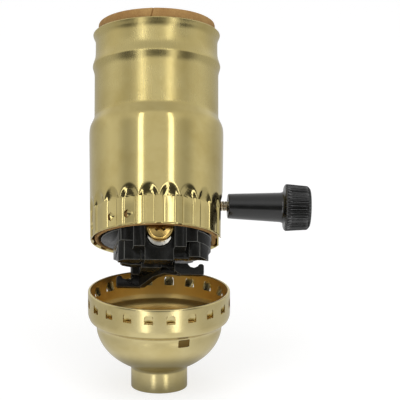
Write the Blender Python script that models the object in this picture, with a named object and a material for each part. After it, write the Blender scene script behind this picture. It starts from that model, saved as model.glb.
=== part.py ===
"""Turn knob lamp socket for a medium Edison screw lamp, shown with its cap taken off.

The cap stands upright on its threaded neck.  The switch body, in its cardboard liner and
drawn brass shell, leans back above it with one anchor foot inside the cap's rim.
Sizes are in millimetres.  The origin is the centre of the neck's lower face, +Z goes up
the neck, -Y is the front and +X is the side of the turn knob.
"""
import math

import bmesh
import bpy
import numpy as np
from mathutils import Matrix, Vector

for stale in list(bpy.data.objects):
    bpy.data.objects.remove(stale, do_unlink=True)

MM = 0.001

# Clearances
SEAT_GAP = 0.3           # between pieces that rest on each other
RUN_GAP = 0.3            # round a shaft or rivet in its hole
OVERLAP = 0.25           # depth to which joined shapes run into each other
THROUGH = 1.0            # length by which a cutter runs past a wall

# Cap
CAP_HEIGHT = 26.7
CAP_RADIUS = 19.05
CAP_WALL = 0.45
CAP_CREASE_HEIGHT = 16.5
CAP_BAND_FOOT = 20.0
CAP_LEDGE = 2.15         # by which the band stands out past the bowl
BOWL_RADIUS = CAP_RADIUS - CAP_LEDGE
BOWL_DEPTH = 10.3
BOWL_FOOT_RADIUS = 10.1
NECK_RADIUS = 7.53
NECK_HEIGHT = 5.6
NECK_EDGE = 0.7
WINDOW_COUNT = 20
WINDOW_PHASE_DEG = 10.0
WINDOW_WIDTH = 2.45
WINDOW_HEIGHT = 2.55
WINDOW_BELOW_RIM = 2.8
WINDOW_TAB_SHARE = 0.72
WINDOW_TAB_PRESS = 0.9
KEY_WINDOW_WIDTH = 3.35
KEY_WINDOW_HEIGHT = 2.4
KEY_WINDOW_DROP = 0.7
KEY_WINDOW_ANGLE = 23.7
BUSH_BORE_RADIUS = 4.45
BUSH_HEIGHT = 6.2
SET_SCREW_RADIUS = 1.75
SET_SCREW_HEIGHT = 3.4
SET_SCREW_STANDOUT = 1.1
SET_SCREW_SLOT = 0.5

# Outer shell, heights from its lower edge
SHELL_HEIGHT = 57.9
SHELL_WALL = 0.35
SHELL_FOOT_RADIUS = 17.7
SHELL_BODY_RADIUS = 18.13
SHELL_BODY_HEIGHT = 29.9
SHOULDER_HEIGHT = 4.1
TUBE_RADIUS = 16.75
LOW_BEAD_HEIGHT = 48.45
LOW_BEAD_RADIUS = 17.3
NECKED_RADIUS = 16.5
RIM_CURL = 0.45
TOP_BEAD_HEIGHT = SHELL_HEIGHT - RIM_CURL
TOP_BEAD_RADIUS = 17.2
FLUTE_COUNT = 20
FLUTE_DEPTH = 0.45
FLUTE_HEIGHT = 6.8
FLUTE_FOOT = 0.5
FLUTE_RUNOUT = 3.4
FLUTE_LAND_DEG = 4.6
FLUTE_SIDE_DEG = 1.6
FLUTE_PHASE_DEG = -87.0
SLOT_WIDTH = 8.0
SLOT_ABOVE_STEM = 4.2
TEAT_HEIGHT = 2.8
TEAT_LENGTH = 1.7
TEAT_WIDTH = 2.0
TEAT_STANDOUT = 0.7
TEAT_PANELS = (-2, -3, -5, 7, 8)

# Cardboard liner
SLEEVE_WALL = 1.1
SLEEVE_STANDOUT = 2.8
SLEEVE_SLOT_WIDTH = 6.0

# Pose of the opened shell over the cap
LEAN_DEG = 31.0
SIDE_SHIFT = -0.84
FOOT_DIP = 3.2
TWIST_DEG = 5.0

# Switch body, heights from the shell's lower edge
BODY_CLEARANCE = 0.6
BODY_TOP = 27.0
BODY_BOTTOM = -3.0
SKIRT_BOTTOM = -8.0
SKIRT_FACE = 9.7
SKIRT_BACK = 6.0
SKIRT_LEFT_END = -10.8
SKIRT_LEFT_EDGE = -4.9
SKIRT_RIGHT_EDGE = 8.0
SKIRT_CHAMFER = 1.5
SKIRT_RIGHT_BOTTOM = -6.9
APRON_BOTTOM = -8.3
APRON_STEP = 1.6
APRON_STEP_LEFT = -4.8
APRON_STEP_RIGHT = 8.2
POCKET_DEPTH = 0.6
SEAT_HEIGHT = 1.4
BOSS_FACE = 13.0
BOSS_HALF_WIDTH = 7.1
BOSS_TOP = 15.0
FRONT_BOSS_BOTTOM = -5.1
REAR_BOSS_BOTTOM = -2.8
CHANNEL_HALF_WIDTH = 3.95
CHANNEL_FLOOR = 10.3
FLAT_FACE = 10.6
CAVITY_HALF_LENGTH = 6.2
CAVITY_HALF_WIDTH = 5.6
CAVITY_TOP = 15.5
WELL_RADIUS = 5.2
WELL_FLOOR = 24.0

# Lower moulding with the anchor feet
PLATE_THICKNESS = 1.2
PLATE_HALF_LENGTH = 10.4
PLATE_REAR = 7.8
SHANK_LEFT = -4.4
SHANK_RIGHT = 4.8
SHANK_BOTTOM = -8.9
SHANK_FRONT = -5.0
SHANK_REAR = 4.0
HUB_RIGHT = 1.1
HUB_STEP = 0.9
NECK_LEFT = -6.3
NECK_WIDTH = 4.0
FOOT_THICKNESS = 2.0
FOOT_SOLE = -11.4
FOOT_SETBACK = 7.1
LEFT_FOOT_TIP = -10.2
LEFT_FOOT_HEEL = -3.7
RIGHT_FOOT_TIP = 12.2
RIGHT_FOOT_HEEL = 5.9
WEB_HEIGHT = 3.3
WEB_ARCH = 1.6
RIB_LEFT = -9.9
RIB_BOTTOM = -8.2
RIB_DEPTH = 2.8

# Lamp screw shell, disc and centre contact
SCREW_WALL = 0.3
SCREW_MAJOR_RADIUS = 13.6
SCREW_THREAD_DEPTH = 0.85
SCREW_PITCH = 3.63
SCREW_LENGTH = 24.0
SCREW_FLOOR_HOLE = 6.5
DISC_THICKNESS = 0.8
DISC_RADIUS = 13.4
DISC_HOLE = 4.6
CONTACT_WIDTH = 4.0
CONTACT_THICKNESS = 0.45
CONTACT_RISE = 4.5
SPRING_HALF_WIDTH = 1.8

# Terminals and fasteners
PLATE_METAL = 0.6
TERMINAL_HALF_WIDTH = 3.3
TERMINAL_HEIGHT = 0.5
TERMINAL_HEAD_RADIUS = 3.7
TERMINAL_HEAD_THICKNESS = 2.0
TERMINAL_SHANK_RADIUS = 1.5
TERMINAL_SHANK_LENGTH = 5.0
STRAP_HALF_WIDTH = 2.0
STRAP_GROOVE_DROP = 5.0
FINGER_WIDTH = 2.9
RIVET_RADIUS = 0.9
RIVET_HEAD_RADIUS = 1.8
RIVET_HEAD_THICKNESS = 0.6
SHELL_RIVET_OFFSET = 8.8
SHELL_RIVET_DEPTH = 6.0
BODY_RIVET_OFFSET = 8.4
BODY_RIVET_DEPTH = 6.5
CENTRE_RIVET_OFFSET = 2.6

# Stem, bush, cam and knob, lengths from the shell's axis
STEM_HEIGHT = 10.0
STEM_RADIUS = 1.35
STEM_INNER_END = -7.6
STEM_OUTER_END = 36.0
BUSH_WALL = 0.75
STEM_BUSH_FLANGE = 3.4
STEM_BUSH_FLANGE_THICKNESS = 0.6
STEM_BUSH_END = 14.6
CAM_RADIUS = 3.3
CAM_HUB_RADIUS = 2.4
CAM_LENGTH = 8.0
WHEEL_RADIUS = 3.75
WHEEL_FLAT = 3.4
WHEEL_THICKNESS = 2.7
CLIP_RADIUS = 2.7
CLIP_THICKNESS = 0.4
KNOB_FOOT = 19.3
KNOB_FOOT_RADIUS = 3.33
KNOB_SLEEVE_RADIUS = 3.88
KNOB_HEAD_START = 34.5
KNOB_HEAD_RADIUS = 6.35
KNOB_END_RADIUS = 5.85
KNOB_LENGTH = 22.5
KNOB_SERRATIONS = 36
KNOB_SERRATION_DEPTH = 0.4
KNOB_EDGE = 0.5
KNOB_WEB = 5.6

# Facets round the axis
SHELL_FACETS = 40
CAP_FACETS = 40
SCREW_FACETS = 24
SMALL_FACETS = 20


# Materials

def finish(name, colour, roughness, metallic):
    """A plain Principled material."""
    made = bpy.data.materials.new(name)
    made.use_nodes = True
    shader = made.node_tree.nodes["Principled BSDF"]
    shader.inputs["Base Color"].default_value = (*colour, 1.0)
    shader.inputs["Roughness"].default_value = roughness
    shader.inputs["Metallic"].default_value = metallic
    return made


SHELL_BRASS = finish("shell_brass", (0.55, 0.45, 0.20), 0.25, 1.0)
CAP_BRASS = finish("cap_brass", (0.55, 0.46, 0.22), 0.30, 1.0)
TURNED_BRASS = finish("turned_brass", (0.60, 0.42, 0.12), 0.25, 1.0)
NICKEL = finish("nickel", (0.60, 0.60, 0.57), 0.30, 1.0)
STEEL = finish("steel", (0.50, 0.48, 0.44), 0.35, 1.0)
PHENOLIC = finish("phenolic", (0.012, 0.012, 0.013), 0.35, 0.0)
KNOB_BLACK = finish("knob_black", (0.010, 0.010, 0.011), 0.25, 0.0)
CARDBOARD = finish("cardboard", (0.43, 0.25, 0.11), 0.85, 0.0)
FIBRE = finish("fibre", (0.25, 0.10, 0.05), 0.80, 0.0)


# Shapes

def even_angles(count, start=0.0):
    """Evenly spaced angles round a full turn, in radians."""
    return start + np.arange(count) * 2.0 * math.pi / count


def circle(radius, height, angles):
    """A ring of points; the radius may be one number or one for each angle."""
    radii = np.broadcast_to(radius, angles.shape)
    points = np.stack([radii * np.cos(angles), radii * np.sin(angles),
                       np.full(angles.shape, height)], axis=1)
    return angles, points


def zip_rings(mesh, low, low_angles, high, high_angles):
    """Joins two rings with faces, also where their counts differ."""
    count_low, count_high = len(low), len(high)
    if count_low == count_high:
        for i in range(count_low):
            j = (i + 1) % count_low
            mesh.faces.new((low[i], low[j], high[j], high[i]))
        return

    def turned_to(angles, index):
        laps, rest = divmod(index, len(angles))
        return angles[rest] + laps * 2.0 * math.pi

    i = j = 0
    while i < count_low or j < count_high:
        low_next = turned_to(low_angles, i + 1)
        high_next = turned_to(high_angles, j + 1)
        if j == count_high or (i < count_low and low_next <= high_next):
            mesh.faces.new((low[i % count_low], low[(i + 1) % count_low], high[j % count_high]))
            i += 1
        else:
            mesh.faces.new((low[i % count_low], high[(j + 1) % count_high], high[j % count_high]))
            j += 1


def skin(rings, closed):
    """A closed solid through a row of rings: a loop of rings, or a row with flat ends."""
    mesh = bmesh.new()
    loops = [[mesh.verts.new(point) for point in points] for _, points in rings]
    angles = [ring_angles for ring_angles, _ in rings]
    for i in range(len(rings) - 1):
        zip_rings(mesh, loops[i], angles[i], loops[i + 1], angles[i + 1])
    if closed:
        zip_rings(mesh, loops[-1], angles[-1], loops[0], angles[0])
    else:
        mesh.faces.new(loops[0])
        mesh.faces.new(loops[-1])
    bmesh.ops.recalc_face_normals(mesh, faces=mesh.faces)
    return mesh


def turned(profile, count=SMALL_FACETS, closed=False):
    """A turned solid about Z from (radius, height) points."""
    angles = even_angles(count, math.pi / count)
    return skin([circle(radius, height, angles) for radius, height in profile], closed)


def washer(inner, outer, bottom, top, count=SMALL_FACETS):
    """A flat ring or a plain bush."""
    return turned([(inner, bottom), (outer, bottom), (outer, top), (inner, top)], count, True)


def rod(radius, bottom, top, count=SMALL_FACETS):
    """A plain round bar."""
    return turned([(radius, bottom), (radius, top)], count)


def prism(outline, bottom, top):
    """An outline in X and Y carried from one height to another."""
    mesh = bmesh.new()
    low = [mesh.verts.new((x, y, bottom)) for x, y in outline]
    high = [mesh.verts.new((x, y, top)) for x, y in outline]
    marks = np.arange(len(outline))
    zip_rings(mesh, low, marks, high, marks)
    mesh.faces.new(low)
    mesh.faces.new(high)
    bmesh.ops.recalc_face_normals(mesh, faces=mesh.faces)
    return mesh


def block(x_span, y_span, z_span):
    """A rectangular block between two limits on each axis."""
    (x0, x1), (y0, y1), (z0, z1) = x_span, y_span, z_span
    return prism([(x0, y0), (x1, y0), (x1, y1), (x0, y1)], z0, z1)


def stadium(half_width, low, high, steps=8):
    """An upright slot outline with half-round ends centred at two heights."""
    top = [(half_width * math.cos(math.pi * i / steps), high + half_width * math.sin(math.pi * i / steps))
           for i in range(steps + 1)]
    bottom = [(-x, low - (y - high)) for x, y in top]
    return top + bottom


def arc(radius, start_deg, end_deg, steps):
    """Points on an arc about the origin."""
    sweep = np.radians(np.linspace(start_deg, end_deg, steps + 1))
    return [(radius * math.cos(angle), radius * math.sin(angle)) for angle in sweep]


def strip(path, thickness):
    """The outline of a bent strip of even thickness along a path in two axes."""
    points = [Vector(point) for point in path]
    left, right = [], []
    for i, point in enumerate(points):
        before = (point - points[i - 1]).normalized() if i else (points[1] - point).normalized()
        after = (points[i + 1] - point).normalized() if i < len(points) - 1 else before
        normal = Vector((-(before + after).y, (before + after).x)).normalized()
        reach = 0.5 * thickness / max(0.35, normal.dot(Vector((-before.y, before.x))))
        left.append(tuple(point + normal * reach))
        right.append(tuple(point - normal * reach))
    return left + right[::-1]


TO_FRONT = Matrix(((1, 0, 0, 0), (0, 0, -1, 0), (0, 1, 0, 0), (0, 0, 0, 1)))
ALONG_X = Matrix(((0, 0, 1, 0), (1, 0, 0, 0), (0, 1, 0, 0), (0, 0, 0, 1)))


def moved(mesh, matrix):
    """The same mesh carried by a matrix."""
    bmesh.ops.transform(mesh, matrix=matrix, verts=mesh.verts)
    return mesh


def shifted(mesh, x=0.0, y=0.0, z=0.0):
    """The same mesh moved along the axes."""
    return moved(mesh, Matrix.Translation((x, y, z)))


def front_prism(outline, near, far):
    """An outline in X and Z carried along Y from near to far."""
    return moved(prism(outline, -far, -near), TO_FRONT)


def side_prism(outline, left, right):
    """An outline in Y and Z carried along X from left to right."""
    return moved(prism(outline, left, right), ALONG_X)


def together(meshes):
    """Several separate shapes in one mesh."""
    joined = bmesh.new()
    for mesh in meshes:
        data = bpy.data.meshes.new("part")
        mesh.to_mesh(data)
        joined.from_mesh(data)
        bpy.data.meshes.remove(data)
        mesh.free()
    return joined


# Objects

def frame(name, parent=None, place=(0, 0, 0), turn_deg=(0, 0, 0)):
    """An empty that carries pieces; its place is in millimetres."""
    empty = bpy.data.objects.new(name, None)
    bpy.context.scene.collection.objects.link(empty)
    empty.parent = parent
    empty.location = Vector(place) * MM
    empty.rotation_euler = [math.radians(angle) for angle in turn_deg]
    return empty


def node(name, mesh, material, parent, sharp_deg=35.0):
    """Puts a mesh in the scene as a named piece."""
    bmesh.ops.scale(mesh, vec=(MM, MM, MM), verts=mesh.verts)
    data = bpy.data.meshes.new(name)
    mesh.to_mesh(data)
    mesh.free()
    data.shade_smooth()
    data.set_sharp_from_angle(angle=math.radians(sharp_deg))
    piece = bpy.data.objects.new(name, data)
    piece.data.materials.append(material)
    bpy.context.scene.collection.objects.link(piece)
    piece.parent = parent
    return piece


def combine(piece, operation, mesh):
    """Joins a shape to a piece, or cuts it away, with a Boolean modifier."""
    tool = node(f"{piece.name}_{operation.lower()}_{len(piece.modifiers)}", mesh,
                piece.data.materials[0], piece.parent)
    tool.hide_render = True
    tool.display_type = "WIRE"
    step = piece.modifiers.new(tool.name, "BOOLEAN")
    step.operation = operation
    step.solver = "EXACT"
    step.object = tool


def offset(profile, distance):
    """A (radius, height) line moved sideways, towards the axis where it runs upwards."""
    points = [Vector(point) for point in profile]
    moved_points = []
    for i, point in enumerate(points):
        before = (point - points[i - 1]).normalized() if i else (points[1] - point).normalized()
        after = (points[i + 1] - point).normalized() if i < len(points) - 1 else before
        normal = Vector((-(before + after).y, (before + after).x)).normalized()
        moved_points.append(tuple(point + normal * distance / max(0.6, normal.dot((-before.y, before.x)))))
    return moved_points


# Cap

def cap_profile():
    """The cap's outside from the neck's lower edge to the rim."""
    def bowl_height(radius):
        return CAP_CREASE_HEIGHT - BOWL_DEPTH * math.sqrt(max(0.0, 1.0 - (radius / BOWL_RADIUS) ** 2))

    neck = [(NECK_RADIUS - NECK_EDGE, 0.0), (NECK_RADIUS - 0.2 * NECK_EDGE, 0.3 * NECK_EDGE),
            (NECK_RADIUS, NECK_EDGE), (NECK_RADIUS, NECK_HEIGHT)]
    bowl_radii = BOWL_RADIUS * np.sin(np.linspace(math.asin(BOWL_FOOT_RADIUS / BOWL_RADIUS), math.pi / 2, 6))
    bowl = [(float(radius), bowl_height(float(radius))) for radius in bowl_radii]
    step = CAP_RADIUS - BOWL_RADIUS
    rise = CAP_BAND_FOOT - CAP_CREASE_HEIGHT
    crease = [(CAP_RADIUS - 0.36 * step, CAP_CREASE_HEIGHT + 0.48 * rise),
              (CAP_RADIUS - 0.09 * step, CAP_CREASE_HEIGHT + 0.75 * rise),
              (CAP_RADIUS, CAP_BAND_FOOT), (CAP_RADIUS, CAP_HEIGHT)]
    return neck + bowl + crease


def lancing(angle_deg, middle, width, height):
    """A window's cutter and the tab that is pressed in from its upper edge."""
    outer = CAP_RADIUS + THROUGH
    inner = CAP_RADIUS - CAP_WALL - THROUGH
    bottom, top = middle - 0.5 * height, middle + 0.5 * height
    arch = [(-0.5 * width, bottom), (0.5 * width, bottom), (0.5 * width, top - 0.3 * height),
            (0.28 * width, top), (-0.28 * width, top), (-0.5 * width, top - 0.3 * height)]
    turn = Matrix.Rotation(math.radians(angle_deg), 4, "Z")
    cutter = moved(front_prism(arch, -outer, -inner), turn)
    tab_foot = top - WINDOW_TAB_SHARE * height
    face = CAP_RADIUS - 0.5 * CAP_WALL
    pressed = face - WINDOW_TAB_PRESS
    section = strip([(-face, top + OVERLAP), (-face, top - 0.1), (-pressed, tab_foot)], 0.8 * CAP_WALL)
    tab = moved(side_prism(section, -0.5 * width + 0.25, 0.5 * width - 0.25), turn)
    return cutter, tab


def build_cap():
    """The drawn cap with its lanced windows, its threaded bush and the set screw."""
    cap = frame("cap")
    outside = cap_profile()
    inside = offset(outside[1:], CAP_WALL)
    lip = (BUSH_BORE_RADIUS + CAP_WALL, CAP_WALL)
    inner_neck = (NECK_RADIUS - CAP_WALL, CAP_WALL)
    inside[0] = inner_neck
    inside[1] = (NECK_RADIUS - CAP_WALL, NECK_EDGE + CAP_WALL)
    inside[-1] = (CAP_RADIUS - CAP_WALL, CAP_HEIGHT)
    loop = [(lip[0], 0.0)] + outside + inside[::-1] + [lip]
    cup = node("cap_cup", turned(loop, CAP_FACETS, True), CAP_BRASS, cap)

    pitch = 360.0 / WINDOW_COUNT
    middle = CAP_HEIGHT - WINDOW_BELOW_RIM
    cutters, tabs = zip(*[lancing(pitch * i + WINDOW_PHASE_DEG, middle, WINDOW_WIDTH, WINDOW_HEIGHT)
                          for i in range(WINDOW_COUNT)])
    turn = Matrix.Rotation(math.radians(KEY_WINDOW_ANGLE), 4, "Z")
    key_foot = CAP_CREASE_HEIGHT - KEY_WINDOW_DROP
    key = moved(block((-0.5 * KEY_WINDOW_WIDTH, 0.5 * KEY_WINDOW_WIDTH),
                      (-CAP_RADIUS - THROUGH, -BOWL_RADIUS + 4.0 * THROUGH),
                      (key_foot, key_foot + KEY_WINDOW_HEIGHT)), turn)
    hole = moved(rod(SET_SCREW_RADIUS + RUN_GAP, NECK_RADIUS - 3.0 * THROUGH, NECK_RADIUS + THROUGH, 16),
                 Matrix.Rotation(math.radians(-90), 4, "X"))
    hole = shifted(hole, z=SET_SCREW_HEIGHT)
    combine(cup, "DIFFERENCE", together([*cutters, key, hole]))
    combine(cup, "UNION", together(tabs))

    bush_outer = NECK_RADIUS - CAP_WALL - SEAT_GAP
    bush_foot = CAP_WALL + SEAT_GAP
    bush = node("neck_bushing", washer(BUSH_BORE_RADIUS, bush_outer, bush_foot, bush_foot + BUSH_HEIGHT, 24),
                TURNED_BRASS, cap)
    tap = moved(rod(SET_SCREW_RADIUS + RUN_GAP, BUSH_BORE_RADIUS - THROUGH, bush_outer + THROUGH, 16),
                Matrix.Rotation(math.radians(-90), 4, "X"))
    combine(bush, "DIFFERENCE", shifted(tap, z=SET_SCREW_HEIGHT))

    tip = BUSH_BORE_RADIUS + 0.6
    end = NECK_RADIUS + SET_SCREW_STANDOUT
    line = [(0.55 * SET_SCREW_RADIUS, tip), (SET_SCREW_RADIUS, tip + 0.7), (SET_SCREW_RADIUS, end - 0.2),
            (SET_SCREW_RADIUS - 0.2, end)]
    screw = moved(turned(line, 16), Matrix.Rotation(math.radians(-90), 4, "X"))
    set_screw = node("neck_set_screw", shifted(screw, z=SET_SCREW_HEIGHT), STEEL, cap)
    slot = block((-SET_SCREW_RADIUS - THROUGH, SET_SCREW_RADIUS + THROUGH), (end - 0.8, end + THROUGH),
                 (SET_SCREW_HEIGHT - 0.5 * SET_SCREW_SLOT, SET_SCREW_HEIGHT + 0.5 * SET_SCREW_SLOT))
    combine(set_screw, "DIFFERENCE", slot)


# Shell and liner

def shell_profile():
    """The plain shell's outside above the flutes, from low to high."""
    top = SHELL_BODY_HEIGHT + SHOULDER_HEIGHT
    drop = SHELL_BODY_RADIUS - TUBE_RADIUS
    shoulder = [(SHELL_BODY_RADIUS, SHELL_BODY_HEIGHT),
                (SHELL_BODY_RADIUS - 0.12 * drop, SHELL_BODY_HEIGHT + 0.35 * SHOULDER_HEIGHT),
                (SHELL_BODY_RADIUS - 0.50 * drop, SHELL_BODY_HEIGHT + 0.70 * SHOULDER_HEIGHT),
                (TUBE_RADIUS, top)]
    neck = 0.5 * (TUBE_RADIUS + NECKED_RADIUS)
    low_bead = [(TUBE_RADIUS, LOW_BEAD_HEIGHT - 1.5), (LOW_BEAD_RADIUS - 0.12, LOW_BEAD_HEIGHT - 0.7),
                (LOW_BEAD_RADIUS, LOW_BEAD_HEIGHT), (LOW_BEAD_RADIUS - 0.15, LOW_BEAD_HEIGHT + 0.9),
                (neck, LOW_BEAD_HEIGHT + 2.4)]
    waist = [(NECKED_RADIUS, LOW_BEAD_HEIGHT + 3.6), (NECKED_RADIUS, TOP_BEAD_HEIGHT - 1.2)]
    top_bead = [(TOP_BEAD_RADIUS - 0.12, TOP_BEAD_HEIGHT - 0.5), (TOP_BEAD_RADIUS, TOP_BEAD_HEIGHT),
                (TOP_BEAD_RADIUS - 0.1, TOP_BEAD_HEIGHT + 0.55 * RIM_CURL),
                (TOP_BEAD_RADIUS - 0.8 * RIM_CURL, SHELL_HEIGHT)]
    return shoulder + low_bead + waist + top_bead


def body_radius(height):
    """The lower body's plain radius, which tapers to the lower edge."""
    share = height / SHELL_BODY_HEIGHT
    return SHELL_FOOT_RADIUS + (SHELL_BODY_RADIUS - SHELL_FOOT_RADIUS) * share


def flute_angles():
    """Four points for each flute: the two edges of its land and the two of its panel."""
    pitch = 360.0 / FLUTE_COUNT
    half = 0.5 * FLUTE_LAND_DEG
    stops = np.array([-half, half, half + FLUTE_SIDE_DEG, pitch - half - FLUTE_SIDE_DEG])
    all_stops = (np.arange(FLUTE_COUNT)[:, None] * pitch + stops[None, :]).ravel() + FLUTE_PHASE_DEG
    return np.radians(all_stops)


def fluted_rings(inset):
    """The rings of the fluted foot, set in by a wall or not at all, from low to high."""
    angles = flute_angles()
    in_panel = np.tile([0.0, 0.0, 1.0, 1.0], FLUTE_COUNT)
    levels = [(0.0, 0.0), (FLUTE_FOOT, 1.0), (FLUTE_HEIGHT, 1.0),
              (FLUTE_HEIGHT + 0.35 * FLUTE_RUNOUT, 0.75), (FLUTE_HEIGHT + FLUTE_RUNOUT, 0.0)]
    rings = []
    for height, depth in levels:
        radii = body_radius(height) - inset - FLUTE_DEPTH * depth * in_panel
        rings.append(circle(radii, height, angles))
    return rings


def teat_solid(angle_deg, bottom):
    """A lanced tooth that snaps into one of the cap's windows, and the slit behind it."""
    face = body_radius(TEAT_HEIGHT) - FLUTE_DEPTH
    root = face - 0.5 * SHELL_WALL
    top = bottom + TEAT_WIDTH
    mesh = bmesh.new()
    half = 0.5 * TEAT_LENGTH
    corners = [(-half, -root, bottom), (-half, -root, top), (half, -root, 0.5 * (bottom + top)),
               (-half, -root - SHELL_WALL - TEAT_STANDOUT, 0.5 * (bottom + top))]
    verts = [mesh.verts.new(corner) for corner in corners]
    for face_corners in ((0, 1, 2), (0, 1, 3), (1, 2, 3), (0, 2, 3)):
        mesh.faces.new([verts[i] for i in face_corners])
    bmesh.ops.recalc_face_normals(mesh, faces=mesh.faces)
    slit = block((-half - 0.5, -half), (-face - THROUGH, -face + SHELL_WALL + THROUGH),
                 (bottom + 0.3, top - 0.3))
    turn = Matrix.Rotation(math.radians(angle_deg), 4, "Z")
    return moved(mesh, turn), moved(slit, turn)


def slot_cutter(width, depth):
    """The slot that lets the stem pass, open at the lower edge and round at the top."""
    half = 0.5 * width
    top = STEM_HEIGHT + SLOT_ABOVE_STEM - half
    outline = [(-half, -depth), (half, -depth)]
    outline += [(half * math.cos(angle), top + half * math.sin(angle))
                for angle in np.linspace(0.0, math.pi, 9)]
    cutter = side_prism(outline, 0.5 * SHELL_FOOT_RADIUS, SHELL_BODY_RADIUS + THROUGH)
    return moved(cutter, Matrix.Rotation(math.radians(TWIST_DEG), 4, "Z"))


def build_shell(shell):
    """The drawn brass shell and the cardboard liner inside it."""
    plain = even_angles(SHELL_FACETS, math.radians(FLUTE_PHASE_DEG))
    outside = shell_profile()
    inside = offset(outside, SHELL_WALL)
    rings = fluted_rings(0.0) + [circle(radius, height, plain) for radius, height in outside]
    rings += [circle(radius, height, plain) for radius, height in reversed(inside)]
    rings += fluted_rings(SHELL_WALL)[::-1]
    outer = node("outer_shell", skin(rings, True), SHELL_BRASS, shell)
    pitch = 360.0 / FLUTE_COUNT
    first_panel = FLUTE_PHASE_DEG + 90.0 + 0.5 * pitch
    teats, slits = zip(*[teat_solid(first_panel + pitch * panel, TEAT_HEIGHT - 0.5 * TEAT_WIDTH + 0.4)
                         for panel in TEAT_PANELS])
    combine(outer, "DIFFERENCE", together([*slits, slot_cutter(SLOT_WIDTH, THROUGH)]))
    combine(outer, "UNION", together(teats))

    narrow = NECKED_RADIUS - SHELL_WALL - SEAT_GAP
    wide = sleeve_foot_radius()
    bend = SHELL_BODY_HEIGHT - 1.0
    top = SHELL_HEIGHT + SLEEVE_STANDOUT
    upper = SHELL_BODY_HEIGHT + SHOULDER_HEIGHT - 0.5
    loop = [(wide, 0.0), (wide, bend), (narrow, upper), (narrow, top),
            (narrow - SLEEVE_WALL, top), (narrow - SLEEVE_WALL, upper), (wide - SLEEVE_WALL, bend),
            (wide - SLEEVE_WALL, 0.0)]
    sleeve = node("insulating_sleeve", turned(loop, SHELL_FACETS, True), CARDBOARD, shell)
    combine(sleeve, "DIFFERENCE", slot_cutter(SLEEVE_SLOT_WIDTH, THROUGH))


def sleeve_foot_radius():
    """The liner's outer radius in the shell's lower body, clear of the flutes."""
    return SHELL_FOOT_RADIUS - FLUTE_DEPTH - SHELL_WALL - SEAT_GAP


def body_outer_radius():
    """The switch body's radius, clear of the liner's bore."""
    return sleeve_foot_radius() - SLEEVE_WALL - BODY_CLEARANCE


# Switch body

def flat_outline(radius):
    """The round body with a flat front and rear."""
    edge = math.degrees(math.asin(FLAT_FACE / radius))
    return arc(radius, -edge, edge, 8) + arc(radius, 180.0 - edge, 180.0 + edge, 8)


def foot_outline(radius):
    """The body's lower end, which is cut off straight at the left as well."""
    edge = math.degrees(math.asin(FLAT_FACE / radius))
    corner = math.degrees(math.acos(-SKIRT_LEFT_END / radius))
    left = arc(radius, 180.0 - edge, 180.0 - corner, 2) + arc(radius, 180.0 + corner, 180.0 + edge, 2)
    return arc(radius, -edge, edge, 8) + left


def skirts():
    """The front skirts that hang below the barrel: left, right, and the apron and step between."""
    reach = body_outer_radius() - OVERLAP
    top = BODY_BOTTOM + 2.0 * OVERLAP
    side = math.sqrt(reach ** 2 - SKIRT_FACE ** 2)
    left = [(SKIRT_LEFT_END, -SKIRT_BACK), (SKIRT_LEFT_END, -0.5 * (SKIRT_BACK + SKIRT_FACE)),
            (SKIRT_LEFT_END + SKIRT_CHAMFER, -SKIRT_FACE), (SKIRT_LEFT_EDGE, -SKIRT_FACE),
            (SKIRT_LEFT_EDGE, -SKIRT_BACK)]
    corner = math.degrees(math.asin(SKIRT_FACE / reach))
    right = [(SKIRT_RIGHT_EDGE, -SKIRT_BACK), (SKIRT_RIGHT_EDGE, -SKIRT_FACE), (side, -SKIRT_FACE)]
    right += arc(reach, -0.9 * corner, -0.5 * corner, 2) + [(SKIRT_RIGHT_EDGE + 3.5, -SKIRT_BACK)]
    half = CHANNEL_HALF_WIDTH - 0.05
    face = CHANNEL_FLOOR + POCKET_DEPTH
    apron = block((-half, half), (-BOSS_FACE + 0.5, -SKIRT_BACK), (APRON_BOTTOM, top))
    step = block((APRON_STEP_LEFT, 0.5 - half), (-face + APRON_STEP, -SKIRT_BACK - 0.1),
                 (SKIRT_BOTTOM + 0.1, top - 0.1))
    far_step = block((half - 0.5, APRON_STEP_RIGHT), (-face + 1.5 * APRON_STEP, -SKIRT_BACK - 0.15),
                     (SKIRT_RIGHT_BOTTOM - 0.2, top - 0.15))
    return [prism(left, SKIRT_BOTTOM, top), prism(right, SKIRT_RIGHT_BOTTOM, top), apron, step, far_step]


def terminal_recess(bottom, side):
    """The channel between the posts of a boss, and the pocket that holds its plate."""
    face = BOSS_FACE + THROUGH + 1.0
    top = BOSS_TOP - 1.0
    channel_foot = min(bottom, APRON_BOTTOM) - THROUGH
    spans = (-face, -CHANNEL_FLOOR - POCKET_DEPTH), (-face, -CHANNEL_FLOOR)
    if side > 0:
        spans = [(-inner, -outer) for outer, inner in spans]
    channel = block((-CHANNEL_HALF_WIDTH, CHANNEL_HALF_WIDTH), spans[0], (channel_foot, top))
    outline = stadium(TERMINAL_HALF_WIDTH + RUN_GAP, bottom + CHANNEL_HALF_WIDTH, top - 0.1)
    pocket = front_prism(outline, *spans[1])
    return channel, pocket


def rivet_hole(x, y, bottom, top):
    """A round hole for a rivet, along Z."""
    return shifted(rod(RIVET_RADIUS + RUN_GAP, bottom, top, 10), x, y)


def screw_hole(near, far):
    """A hole for a terminal screw along Y, between two places on that axis."""
    hole = rod(TERMINAL_SHANK_RADIUS + RUN_GAP, -max(near, far), -min(near, far), 14)
    return shifted(moved(hole, TO_FRONT), z=TERMINAL_HEIGHT)


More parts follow.
